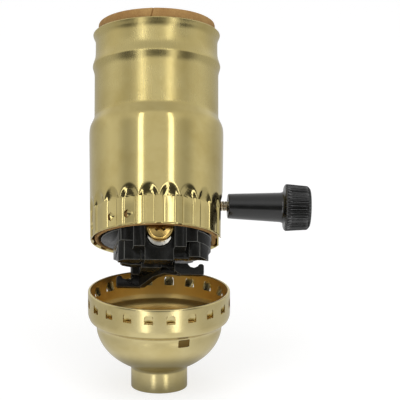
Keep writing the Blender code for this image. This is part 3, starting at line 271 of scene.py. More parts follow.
@dataclass(frozen=True)
class Board(Finish):
    """Pressed board or paper: matted fibres of the second colour, a faint direction, no gloss."""

    roughness: float = 0.85
    fibre_mm: float = 0.5       # size of the fibre clumps, coarser than real so that they show
    cloud_mm: float = 6.0       # size of the paler and darker patches
    relief_mm: float = 0.03

    def looks(self, tree: bpy.types.NodeTree, place: Socket, unrolled: Socket) -> dict:
        """What the main shader is fed with.

        Args:
            tree: The node tree.
            place: The place on the object, in metres.
            unrolled: The place on the piece's UV map, which isn't used.

        Returns:
            The shader's inputs, as add_node takes them.
        """
        stretch = add_node(tree, "ShaderNodeMapping", None, {"Vector": place, "Scale": (1.0, 1.0, 0.35)})
        mat = add_node(tree, "ShaderNodeTexNoise", None,
                       {"Vector": stretch.outputs["Vector"], "Scale": 1.0 / (self.fibre_mm * MM),
                        "Detail": 6.0, "Roughness": 0.7, "Distortion": 1.2}).outputs["Fac"]
        cloud = add_node(tree, "ShaderNodeTexNoise", None,
                         {"Vector": place, "Scale": 1.0 / (self.cloud_mm * MM), "Detail": 3.0})
        both = add_node(tree, "ShaderNodeMix", {"data_type": "FLOAT"},
                        {"Factor": 0.45, 2: mat, 3: cloud.outputs["Fac"]})
        colour = add_node(tree, "ShaderNodeValToRGB", None, {"Fac": both.outputs[0]},
                          [(0.30, linear(self.second)), (0.62, linear(self.colour))])
        rough = add_node(tree, "ShaderNodeMapRange", None,
                         {"Value": mat, "To Min": self.roughness - 0.1, "To Max": self.roughness + 0.1})
        bump = add_node(tree, "ShaderNodeBump", None,
                        {"Height": mat, "Strength": 0.8, "Distance": self.relief_mm * MM})
        return {"Specular IOR Level": 0.3, "Base Color": colour.outputs["Color"],
                "Roughness": rough.outputs["Result"], "Normal": bump.outputs["Normal"]}


# Brass sheet, drawn and bright-dipped: pale yellow, faint lines along the draw, clear highlights.
DRAWN_BRASS = Metal("brass_sheet_drawn", "C6B67C", "BBA96C", 0.13, spread=0.025, grain=Grain.ALONG,
                    grain_mm=0.45, relief_mm=0.0008, anisotropy=0.2, worn_or_painted_light=0.15)
# Brass sheet, spun and satin-polished: lines run round, so highlights smear up and down.  Its inner skin is
# rougher and painted a warmer yellow: painted light inside the cup.
SPUN_BRASS = Metal("brass_sheet_spun", "D3C490", "C6B57C", 0.27, spread=0.004, grain=Grain.ROUND,
                   grain_mm=0.3, relief_mm=0.00008, anisotropy=0.25, worn_or_painted_light=0.18, painted_light_colour="DFC27C")
# Brass rod, turned: a deeper yellow with lathe rings.
TURNED_BRASS = Metal("brass_rod_turned", "DDBE76", "C8A254", 0.24, grain=Grain.ROUND, grain_mm=0.15,
                     relief_mm=0.004, anisotropy=0.3)
# Brass strip, stamped and tumbled: the same yellow with no direction.
STAMPED_BRASS = Metal("brass_strip_stamped", "D2AE60", "B98F40", 0.28, grain_mm=0.4)
# Nickel plate on brass: a warm bright white metal.
NICKEL_PLATE = Metal("nickel_plate", "DEDCD2", "C6C2B4", 0.33, grain_mm=0.5)
# Steel with a thin zinc plate: grey and a little dull.
ZINC_STEEL = Metal("steel_zinc_plated", "BDB6A8", "9C9484", 0.30, grain_mm=0.3)
# Nickel-plated brass rod for the stem: white with brass showing where it is worn.
STEM_METAL = Metal("brass_rod_nickel_worn", "CFC6B2", "B89858", 0.24, grain=Grain.ROUND, grain_mm=0.2,
                   stain_mm=1.6)
# Black phenolic, compression moulded: near black with a dark grey filler and only a faint shine.
PHENOLIC = Moulding("phenolic_compression_moulded", "1A1A18", "272724", 0.24, shine=0.08)
# The same on the rounded edges, in a lighter grey: a painted highlight along each edge.
PAINTED_EDGE_HIGHLIGHT = Moulding("phenolic_painted_edge_highlight", "4E4E49", "6E6E66", 0.35, speck_mm=0.3)
# Black phenolic, tumbled and polished for the hand: deeper and glossier.
KNOB_PHENOLIC = Moulding("phenolic_polished", "141413", "1C1C1B", 0.17, speck_mm=0.5, relief_mm=0.003)
# Pressed insulating board: brown paper fibre, matt.
FISH_PAPER = Board("insulating_board_pressed", "BA945C", "93693A")
# Vulcanised fibre, punched: dark red-brown and dense.
RED_FIBRE = Board("vulcanised_fibre_punched", "6E3A24", "4A2415", 0.7, fibre_mm=0.3, relief_mm=0.01)


# Placing

@dataclass(frozen=True)
class Place:
    """Where a sub-assembly's own frame stands, as a matrix in millimetres."""

    matrix: Matrix

    def carry(self, points: np.ndarray) -> np.ndarray:
        """Carries rows of points in the sub-assembly's frame into the object's, in metres.

        Args:
            points: An array of any shape whose last axis is x, y, z in millimetres.

        Returns:
            An array of shape (count, 3) in metres.
        """
        turn = np.array(self.matrix.to_3x3())
        shift = np.array(self.matrix.translation)
        return (points.reshape(-1, 3) @ turn.T + shift) * MM


def about(axis: str, angle_deg: float) -> Matrix:
    """The matrix of a turn about an axis."""
    return Matrix.Rotation(math.radians(angle_deg), 4, axis)


TWIST_DEG = 5.0         # the switch body's turn inside the shell
STEM_HEIGHT = 10.0      # the stem's axis above the shell's lower edge
UPRIGHT = Place(Matrix.Identity(4))
LEANING = Place(Matrix.Translation((-0.84, 12.1855, 36.9698)) @ about("X", -31.0))
TWISTED = Place(LEANING.matrix @ about("Z", TWIST_DEG))
KNOB_AXIS = Place(TWISTED.matrix @ Matrix.Translation((0.0, 0.0, STEM_HEIGHT))
                  @ about("Z", 90.0) @ about("X", 90.0))


# Surfaces

def held(values: np.ndarray) -> np.ndarray:
    """Holds values between 0 and 1."""
    return np.clip(values, 0.0, 1.0)


def eased(share: np.ndarray) -> np.ndarray:
    """A share from 0 to 1 that starts and ends gently: s^2 (3 - 2 s)."""
    return share ** 2 * (3.0 - 2.0 * share)


def helix(heights: np.ndarray, angles: np.ndarray, pitch: float) -> np.ndarray:
    """A thread's wave, shape (rows, columns): 0.5 + 0.5 cos(2 pi h / pitch - a), 1 on its crest."""
    return 0.5 + 0.5 * np.cos(2.0 * math.pi * heights[:, None] / pitch - angles[None, :])


def at_marks(line: np.ndarray, marks: np.ndarray, wanted: np.ndarray) -> np.ndarray:
    """A line's points at the wanted marks, where its own points lie at the given marks."""
    return np.stack([np.interp(wanted, marks, line[:, axis]) for axis in (0, 1)], axis=1)


def softened(points: list[tuple[float, float]], reach: float, steps: int = 4) -> np.ndarray:
    """Rounds the inner corners of a line.

    Each corner P becomes the curve (1-t)^2 A + 2t(1-t) P + t^2 B, where A and B lie on the
    two sides at the given reach from P, or at 0.45 of a side that is shorter.

    Args:
        points: The line's corners.
        reach: How far the rounding goes along each side.
        steps: Points on each rounded corner, less one.

    Returns:
        The rounded line, shape (count, 2).
    """
    line = np.array(points, float)
    before, corner, after = line[:-2], line[1:-1], line[2:]
    to_before, to_after = before - corner, after - corner
    length_before = np.linalg.norm(to_before, axis=1, keepdims=True)
    length_after = np.linalg.norm(to_after, axis=1, keepdims=True)
    start = corner + to_before * np.minimum(reach / length_before, 0.45)
    end = corner + to_after * np.minimum(reach / length_after, 0.45)
    t = np.linspace(0.0, 1.0, steps + 1)[None, :, None]
    curves = (1 - t) ** 2 * start[:, None] + 2 * t * (1 - t) * corner[:, None] + t ** 2 * end[:, None]
    return np.vstack([line[:1], curves.reshape(-1, 2), line[-1:]])


def resampled(line: np.ndarray, spacing: float) -> np.ndarray:
    """Adds points to a line so that no gap is longer than the spacing; its own points stay.

    Args:
        line: The line, shape (count, 2).
        spacing: The longest gap, in millimetres.

    Returns:
        The denser line.
    """
    gaps = np.linalg.norm(np.diff(line, axis=0), axis=1)
    counts = np.maximum(1, np.ceil(gaps / spacing)).astype(int)
    share = np.concatenate([i + np.arange(count) / count for i, count in enumerate(counts)])
    share = np.append(share, len(line) - 1)
    return at_marks(line, np.arange(len(line)), share)


def offset(line: np.ndarray, distance: float) -> np.ndarray:
    """Moves a line sideways along its own normals, towards the axis where it runs upwards.

    Args:
        line: The line, shape (count, 2).
        distance: How far it moves, in millimetres.

    Returns:
        The moved line.
    """
    along = np.gradient(line, axis=0)
    along /= np.maximum(np.linalg.norm(along, axis=1, keepdims=True), 1e-9)
    return line + distance * np.stack([-along[:, 1], along[:, 0]], axis=1)


def lip(start: np.ndarray, end: np.ndarray, steps: int = 4) -> np.ndarray:
    """A half-round edge from one skin of a sheet to the other, bulging to the right of the way.

    Args:
        start: Where it leaves the one skin.
        end: Where it meets the other.
        steps: Points between the two.

    Returns:
        The points between, shape (steps, 2).
    """
    middle, half = 0.5 * (start + end), 0.5 * (end - start)
    side = np.array([half[1], -half[0]])
    turn = np.linspace(0.0, math.pi, steps + 2)[1:-1, None]
    return middle - half * np.cos(turn) + side * np.sin(turn)


def sheet_loop(outside: np.ndarray, wall: float) -> np.ndarray:
    """The closed section of a sheet from its outside line, which runs upwards: up the outside,
    over a rounded edge, down the inside and round the lower edge.  In a tight bend the inside
    keeps only the points that stay a wall away from the outside.

    Args:
        outside: The outside line, whose ends are the sheet's ends.
        wall: The sheet's thickness.

    Returns:
        The section's points.
    """
    way = np.append(0.0, np.cumsum(np.linalg.norm(np.diff(outside, axis=0), axis=1)))
    low, high = 0.5 * wall, way[-1] - 0.5 * wall
    marks = np.concatenate([[low], way[(way > low + 0.02) & (way < high - 0.02)], [high]])
    outside = at_marks(outside, way, marks)
    inside = offset(outside, wall)[::-1]
    away = np.linalg.norm(inside[:, None] - resampled(outside, 0.1 * wall)[None], axis=2).min(axis=1)
    inside = inside[away > 0.96 * wall]
    return np.vstack([outside, lip(outside[-1], inside[0]), inside, lip(inside[-1], outside[0])])


def even_angles(count: int, start_deg: float = 0.0) -> np.ndarray:
    """Evenly spaced angles round a full turn, in radians."""
    return math.radians(start_deg) + np.arange(count) * 2.0 * math.pi / count


def lay(name: str, points: np.ndarray, faces: list[list[int]], place: Place, uv: np.ndarray | None = None,
        sharp_deg: float = 35.0) -> Piece:
    """Puts points and faces into a mesh object at the origin.

    Args:
        name: The piece's name.
        points: Its points in millimetres, in the sub-assembly's frame.
        faces: Rows of point numbers.
        place: The sub-assembly's frame.
        uv: Two metres-long coordinates for each face corner.
        sharp_deg: The angle over which an edge is shown sharp.

    Returns:
        The new object.
    """
    mesh = bpy.data.meshes.new(name)
    mesh.from_pydata(place.carry(points).tolist(), [], faces)
    if uv is not None:
        layer = mesh.uv_layers.new(name="UVMap")
        layer.data.foreach_set("uv", uv.astype(np.float32).ravel())
    mesh.validate()
    mesh.shade_smooth()
    mesh.set_sharp_from_angle(angle=math.radians(sharp_deg))
    made = bpy.data.objects.new(name, mesh)
    bpy.context.scene.collection.objects.link(made)
    return made


def turned(name: str, radius: np.ndarray, height: np.ndarray, angles: np.ndarray, place: Place,
           closed: bool = True, sharp_deg: float = 35.0, lean: np.ndarray | float = 0.0) -> Piece:
    """A surface carried round an axis: the point in row i and column j is
    (r cos a, r sin a, h), with r = radius[i, j], h = height[i, j] and a = angles[j] + lean[i].

    Args:
        name: The piece's name.
        radius: Radii, shape (rows, columns) or (rows, 1).
        height: Heights, shaped the same.
        angles: One angle for each column.
        place: The sub-assembly's frame.
        closed: True where the last row joins the first; else both ends close in a point.
        sharp_deg: The angle over which an edge is shown sharp.
        lean: An angle added to each row, shape (rows, 1), so that the columns run slanting.

    Returns:
        The new object.
    """
    rows, columns = max(radius.shape[0], height.shape[0]), len(angles)
    radius = np.broadcast_to(radius, (rows, columns))
    height = np.broadcast_to(height, (rows, columns))
    points = np.stack([radius * np.cos(angles + lean), radius * np.sin(angles + lean), height], axis=2)
    step = np.linalg.norm(np.diff(points, axis=0, append=points[:1]), axis=2).mean(axis=1)
    along = np.concatenate([[0.0], np.cumsum(step)])
    round_way = float(radius.max()) * np.append(angles - angles[0], 2.0 * math.pi)
    last = rows if closed else rows - 1
    i, j = np.meshgrid(np.arange(last), np.arange(columns), indexing="ij")
    here, above, j_next = i * columns, (i + 1) % rows * columns, (j + 1) % columns
    quads = np.stack([here + j, here + j_next, above + j_next, above + j], axis=2)
    u = np.stack([round_way[j], round_way[j + 1], round_way[j + 1], round_way[j]], axis=2)
    v = np.stack([along[i], along[i], along[i + 1], along[i + 1]], axis=2)
    uv = np.stack([u, v], axis=3).reshape(-1, 2) * MM
    faces = quads.reshape(-1, 4).tolist()
    flat = points.reshape(-1, 3)
    if not closed:
        ends = np.array([[0.0, 0.0, height[0].mean()], [0.0, 0.0, height[-1].mean()]])
        column = np.arange(columns)
        column_next = (column + 1) % columns
        bottom, top = rows * columns, rows * columns + 1
        low = np.stack([column_next, column, np.full(columns, bottom)], axis=1)
        high_row = (rows - 1) * columns
        high = np.stack([high_row + column, high_row + column_next, np.full(columns, top)], axis=1)
        flat = np.vstack([flat, ends])
        faces += low.tolist() + high.tolist()
        low_uv = np.stack([np.stack([round_way[1:], round_way[:-1], round_way[:-1]], axis=1),
                           np.zeros((columns, 3))], axis=2)
        high_uv = np.stack([np.stack([round_way[:-1], round_way[1:], round_way[:-1]], axis=1),
                            np.full((columns, 3), along[rows - 1])], axis=2)
        uv = np.vstack([uv, low_uv.reshape(-1, 2) * MM, high_uv.reshape(-1, 2) * MM])
    return lay(name, flat, faces, place, uv, sharp_deg)


def turned_line(name: str, line: np.ndarray, place: Place, columns: int = 96, closed: bool = False,
                sharp_deg: float = 35.0) -> Piece:
    """A plain turned piece from a line of (radius, height) points that runs outwards and up."""
    return turned(name, line[:, :1], line[:, 1:], even_angles(columns), place, closed, sharp_deg)


def prism_points(outline: np.ndarray, near: float, far: float) -> Solid:
    """An outline in x and z carried along y from near to far, with both ends closed.

    Args:
        outline: The outline's corners, anticlockwise seen from the front, shape (count, 2).
        near: The y of its front end.
        far: The y of its rear end.

    Returns:
        The points and the faces.
    """
    count = len(outline)
    ring = np.stack([outline[:, 0], np.zeros(count), outline[:, 1]], axis=1)
    points = np.vstack([ring + [0.0, near, 0.0], ring + [0.0, far, 0.0]])
    here = np.arange(count)
    there = (here + 1) % count
    sides = np.stack([here, here + count, there + count, there], axis=1)
    return points, sides.tolist() + [here.tolist(), (here + count)[::-1].tolist()]


class Joining(Enum):
    """What becomes of the shapes that are set against a piece."""

    TAKEN_OUT = "DIFFERENCE"
    JOINED_ON = "UNION"


def cut(piece: Piece, shapes: list[Solid], place: Place, way: Joining = Joining.TAKEN_OUT) -> None:
    """Cuts closed shapes out of a piece, or joins them to it, with an exact Boolean.

    Args:
        piece: The piece.
        shapes: Points and faces of each shape, in the sub-assembly's frame.
        place: The sub-assembly's frame.
        way: Whether the shapes are taken out or joined on.
    """
    counts = np.cumsum([0] + [len(points) for points, _ in shapes])
    faces = [[index + int(start) for index in face]
             for start, (_, rows) in zip(counts, shapes) for face in rows]
    tool = lay(piece.name + "_tool", np.vstack([points for points, _ in shapes]), faces, place)
    step = piece.modifiers.new("step", "BOOLEAN")
    step.operation = way.value
    step.solver = "EXACT"
    step.object = tool
    settle(piece)
    bpy.data.objects.remove(tool, do_unlink=True)


def settle(piece: Piece, sharp_deg: float = 35.0) -> None:
    """Makes a piece's modifiers part of its mesh and shades it smooth up to an angle.

    Args:
        piece: The piece.
        sharp_deg: The angle over which an edge is shown sharp.
    """
    graph = bpy.context.evaluated_depsgraph_get()
    whole = piece.evaluated_get(graph)
    mesh = bpy.data.meshes.new_from_object(whole, preserve_all_data_layers=True, depsgraph=graph)
    piece.modifiers.clear()
    piece.data = mesh
    mesh.shade_smooth()
    mesh.set_sharp_from_angle(angle=math.radians(sharp_deg))


def mark_worn_or_painted_light(piece: Piece, share: np.ndarray) -> None:
    """Writes a share from 0 to 1 for each point into the WORN_OR_PAINTED_LIGHT attribute: how worn the
    shell's tube is, and where the cap's inner skin takes painted light.
    """
    layer = piece.data.attributes.new(WORN_OR_PAINTED_LIGHT, "FLOAT", "POINT")
    layer.data.foreach_set("value", share.astype(np.float32).ravel())


def spun(points: np.ndarray, angle_deg: float) -> np.ndarray:
    """Turns points about the z axis."""
    c, s = math.cos(math.radians(angle_deg)), math.sin(math.radians(angle_deg))
    return points @ np.array([[c, s, 0.0], [-s, c, 0.0], [0.0, 0.0, 1.0]])


def rounded_copy(node: str, width: float, segments: int = 2, edge: bpy.types.Material | None = None,
                 least_deg: float = 28.0) -> Piece:
    """A copy of a moulded or stamped CAD piece with its outer edges rounded.

    Args:
        node: The CAD node.
        width: The rounding's width in millimetres.
        segments: Steps across each rounding.
        edge: The painted edge highlight that the rounded edges show, where that isn't the piece's own finish.
        least_deg: The angle under which an edge stays as it is.

    Returns:
        The copy, which replaces the node.
    """
    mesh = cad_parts[node].data.copy()
    mesh.name = node + "_moulded"
    work = bmesh.new()
    work.from_mesh(mesh)
    bmesh.ops.remove_doubles(work, verts=work.verts, dist=0.03 * MM)
    bmesh.ops.dissolve_limit(work, angle_limit=math.radians(1.0), verts=work.verts, edges=work.edges)
    weight = work.edges.layers.float.new("bevel_weight_edge")
    for line in work.edges:
        outer = line.is_manifold and line.is_convex and line.calc_face_angle() > math.radians(least_deg)
        line[weight] = float(outer)
    work.to_mesh(mesh)
    work.free()
    if edge is not None:    # the dresser puts the piece's own finish in the first slot of the two
        mesh.materials.clear()
        mesh.materials.append(edge)
        mesh.materials.append(edge)
    made = bpy.data.objects.new(node + "_finished", mesh)
    bpy.context.scene.collection.objects.link(made)
    bevel = made.modifiers.new("edges", "BEVEL")
    bevel.width = width * MM
    bevel.segments = segments
    bevel.limit_method = "WEIGHT"
    bevel.use_clamp_overlap = edge is None
    bevel.material = -1 if edge is None else 1
    settle(made, 40.0)
    return made


class Dresser:
    """Gives pieces their material and body, and reports each."""

    def __init__(self) -> None:
        """Starts with no materials made."""
        self.made: dict[str, bpy.types.Material] = {}

    def material(self, finish: Finish) -> bpy.types.Material:
        """The finish's material, made once.

        Args:
            finish: The finish.

        Returns:
            Its material.
        """
        if finish.name not in self.made:
            self.made[finish.name] = finish.material()
        return self.made[finish.name]

    def dress(self, piece: Piece, finish: Finish, body: str, slot: str, *nodes: str) -> Piece:
        """Finishes a new piece.

        Args:
            piece: The new piece.
            finish: What it is made of.
            body: The body it rides on.
            slot: The record's material slot, which isn't used.
            nodes: The CAD nodes that it stands for.

        Returns:
            The piece.
        """
        if len(piece.data.materials) == 2:      # the second is the painted highlight on its rounded edges
            piece.data.materials[0] = self.material(finish)
        else:
            piece.data.materials.clear()
            piece.data.materials.append(self.material(finish))
        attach(piece, body)
        if nodes:
            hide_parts(*nodes)
        LOG.info("%s: %s, %d faces, on %s", piece.name, finish.name, len(piece.data.polygons), body)
        return piece

    def keep(self, node: str, finish: Finish) -> None:
        """Gives a CAD node that keeps its shape its material.

        Args:
            node: The node's name.
            finish: What it is made of.
        """
        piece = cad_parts[node]
        piece.data.materials.clear()
        piece.data.materials.append(self.material(finish))
        LOG.info("%s: %s, kept", node, finish.name)


@dataclass
class Cap:
    """The spun brass cap with its ring of lanced windows, threaded bush and set screw."""

    height: float = 26.7
    radius: float = 18.98
    wall: float = 0.45
    crease: float = 17.6
    band_foot: float = 20.0
    rim_roll: float = 0.75
    ledge: float = 2.15
    bowl_depth: float = 12.8
    bowl_foot: float = 8.3
    neck_radius: float = 7.53
    neck_height: float = 5.6
    window_count: int = 20
    window_first_deg: float = 10.0
    window_size: tuple[float, float] = (2.45, 2.55)     # width and height
    window_below_rim: float = 2.8
    tab_share: float = 0.88
    tab_press: float = 0.9
    key_size: tuple[float, float] = (3.2, 2.2)          # the larger square window
    key_drop: float = 2.3
    key_deg: float = 23.7
    bore: float = 4.45
    bush_gap: float = 0.3
    bush_height: float = 6.2
    thread_pitch: float = 0.94
    thread_depth: float = 0.45
    screw_height: float = 3.4
    screw_radius: float = 1.75
    screw_gap: float = 0.3
    columns: int = 200
    bush_grid: tuple[int, int] = (64, 72)       # rows and columns

    def outside(self) -> np.ndarray:
        """The outside line from the neck's lower edge to the rim.

        Returns:
            (radius, height) points: the neck, a quarter ellipse for the bowl, the crease, the band.
        """
        bowl_radius = self.radius - self.ledge
        turn = np.linspace(math.asin(self.bowl_foot / bowl_radius), math.pi / 2, 28)
        bowl = np.stack([bowl_radius * np.sin(turn), self.crease - self.bowl_depth * np.cos(turn)], axis=1)
        inner, outer = self.bore + self.wall, self.neck_radius
        neck = softened([(inner, 0.0), (outer, 0.0), (outer, self.neck_height),
                         tuple(bowl[0]), tuple(bowl[1])], 0.3, 5)[:-1]
        rise = self.band_foot - self.crease
        corner = (self.radius - 0.24 * self.ledge, self.crease + 0.5 * rise)
        above = (self.radius - 0.03, self.band_foot)
        notch = softened([tuple(bowl[-5]), tuple(bowl[-1]), corner], 1.5, 8)[:-1]
        edge = softened([tuple(notch[-1]), corner, above], 0.3, 5)[1:-1]
        band = softened([tuple(edge[-1]), above, (self.radius, self.band_foot + 1.0),
                         (self.radius, self.height), (self.radius - self.rim_roll, self.height)], 0.6, 6)[1:]
        return np.vstack([neck, bowl[1:-5], notch, edge, band])

    def window(self, angle_deg: float) -> Solid:
        """A prism through the wall for one window: at its top (half cos t, top + rise sin(t)^0.7).

        Args:
            angle_deg: Where the window stands.

        Returns:
            The points and the faces.
        """
        width, height = self.window_size
        middle = self.height - self.window_below_rim
        half, foot = 0.5 * width, middle - 0.5 * height
        turn = np.linspace(0.0, math.pi, 9)
        rise = 0.42 * height
        top = middle + 0.5 * height - rise
        arch = np.stack([half * np.cos(turn), top + rise * np.sin(turn) ** 0.7], axis=1)
        outline = np.vstack([[(-half, foot), (half, foot)], arch])
        points, faces = prism_points(outline, -self.radius - PAST, -self.radius + self.wall + PAST)
        return spun(points, angle_deg), faces

    def tab(self, angle_deg: float) -> Solid:
        """The tongue pressed in from a window's upper edge.

        For s from 0 at the top to 1 at the free end and u from -1 to 1 across, the point is at
        depth press s^1.5 (1 - 0.25 u^2) behind the wall's face and at height top - share height s.

        Args:
            angle_deg: Where the window stands.

        Returns:
            The points and the faces.
        """
        width, height = self.window_size
        middle = self.height - self.window_below_rim
        s, u = np.meshgrid(np.linspace(-0.12, 1.0, 9), np.linspace(-1.0, 1.0, 9), indexing="ij")
        depth = self.tab_press * np.maximum(s, 0.0) ** 1.5 * (1.0 - 0.25 * u ** 2)
        half = (0.5 * width - 0.07) * np.minimum(1.0, 0.62 + 0.9 * np.maximum(s, 0.0))
        z = middle + 0.5 * height - 0.1 - self.tab_share * height * s
        outer = np.stack([u * half, -(self.radius - 0.05 - depth), z], axis=2)
        inner = outer + np.array([0.0, self.wall - 0.1, 0.0])
        return self.slab(outer, inner, angle_deg)

    @staticmethod
    def slab(outer: np.ndarray, inner: np.ndarray, angle_deg: float) -> Solid:
        """A closed plate between two grids of points of the same shape.

        Args:
            outer: The outer face's points, shape (rows, columns, 3).
            inner: The inner face's points, shaped the same.
            angle_deg: Where the plate stands.

        Returns:
            The points and the faces.
        """
        rows, columns = outer.shape[:2]
        count = rows * columns
        i, j = np.meshgrid(np.arange(rows - 1), np.arange(columns - 1), indexing="ij")
        a = i * columns + j
        face = np.stack([a, a + columns, a + columns + 1, a + 1], axis=2).reshape(-1, 4)
        rim = np.concatenate([np.arange(columns), np.arange(1, rows) * columns + columns - 1,
                              (rows - 1) * columns + np.arange(columns - 2, -1, -1),
                              np.arange(rows - 2, 0, -1) * columns])
        rim_next = np.roll(rim, -1)
        sides = np.stack([rim, rim_next, rim_next + count, rim + count], axis=1)
        faces = face.tolist() + (face[:, ::-1] + count).tolist() + sides.tolist()
        return spun(np.vstack([outer.reshape(-1, 3), inner.reshape(-1, 3)]), angle_deg), faces

    def build(self, dresser: Dresser) -> None:
        """Builds and dresses the cap's pieces.

        Args:
            dresser: Who gives them their finish.
        """
        loop = sheet_loop(resampled(self.outside(), 0.9), self.wall)
        cup = turned("cap_cup_spun", loop[:, :1], loop[:, 1:], even_angles(self.columns), UPRIGHT)
        angles = [self.window_first_deg + 360.0 / self.window_count * i for i in range(self.window_count)]
        key_width, key_height = self.key_size
        key_foot = self.crease - self.key_drop
        half, key_top = 0.5 * key_width, key_foot + key_height
        key = softened([(0.0, key_foot), (half, key_foot), (half, key_top),
                        (-half, key_top), (-half, key_foot), (0.0, key_foot)], 0.3, 3)[:-1]
        bowl_radius = self.radius - self.ledge
        key_points, key_faces = prism_points(key, -self.radius - PAST, -bowl_radius + 4.0)
        turn = np.linspace(0.0, 2.0 * math.pi, 25)[:-1]
        reach = self.screw_radius + self.screw_gap
        hole = np.stack([reach * np.cos(turn), self.screw_height + reach * np.sin(turn)], axis=1)
        hole_points, hole_faces = prism_points(hole, self.neck_radius - 2.0, self.neck_radius + PAST)
        cutters = [self.window(angle) for angle in angles]
        inside = np.zeros((len(loop), self.columns))
        inside[len(loop) // 2 + 2:] = 1.0       # the second half of the section is its inner skin
        # the inner skin is marked: rougher, and painted a warmer yellow as painted light inside the cup
        mark_worn_or_painted_light(cup, inside)
        cut(cup, [*cutters, (spun(key_points, self.key_deg), key_faces), (hole_points, hole_faces)], UPRIGHT)
        cut(cup, [self.tab(angle) for angle in angles], UPRIGHT, Joining.JOINED_ON)
        dresser.dress(cup, SPUN_BRASS, "cap", "cap_brass", "cap_cup")

        foot = self.wall + self.bush_gap
        outer = self.neck_radius - self.wall - self.bush_gap
        rows = np.linspace(0.0, self.bush_height, self.bush_grid[0])[::-1]
        angles_round = even_angles(self.bush_grid[1])
        crest = helix(rows, angles_round, self.thread_pitch)
        fade = held(np.minimum(rows, self.bush_height - rows) / 0.6)[:, None]
        thread = self.bore + self.thread_depth * (1.0 - crest * fade)
        side = softened([(self.bore + self.thread_depth + 0.2, 0.0), (outer, 0.0), (outer, self.bush_height),
                         (self.bore + self.thread_depth + 0.2, self.bush_height)], 0.3, 3)
        wide = np.ones((1, len(angles_round)))
        radius = np.vstack([side[:, :1] * wide, thread])
        height = np.vstack([side[:, 1:] * wide, rows[:, None] * wide])
        bush = turned("neck_bushing_tapped", radius, height + foot, angles_round, UPRIGHT)
        tap_points, tap_faces = prism_points(hole, self.bore - PAST, outer + PAST)
        cut(bush, [(tap_points, tap_faces)], UPRIGHT)
        dresser.dress(bush, TURNED_BRASS, "cap", "turned_brass", "neck_bushing")
        dresser.dress(rounded_copy("neck_set_screw", 0.12), ZINC_STEEL, "cap", "steel", "neck_set_screw")


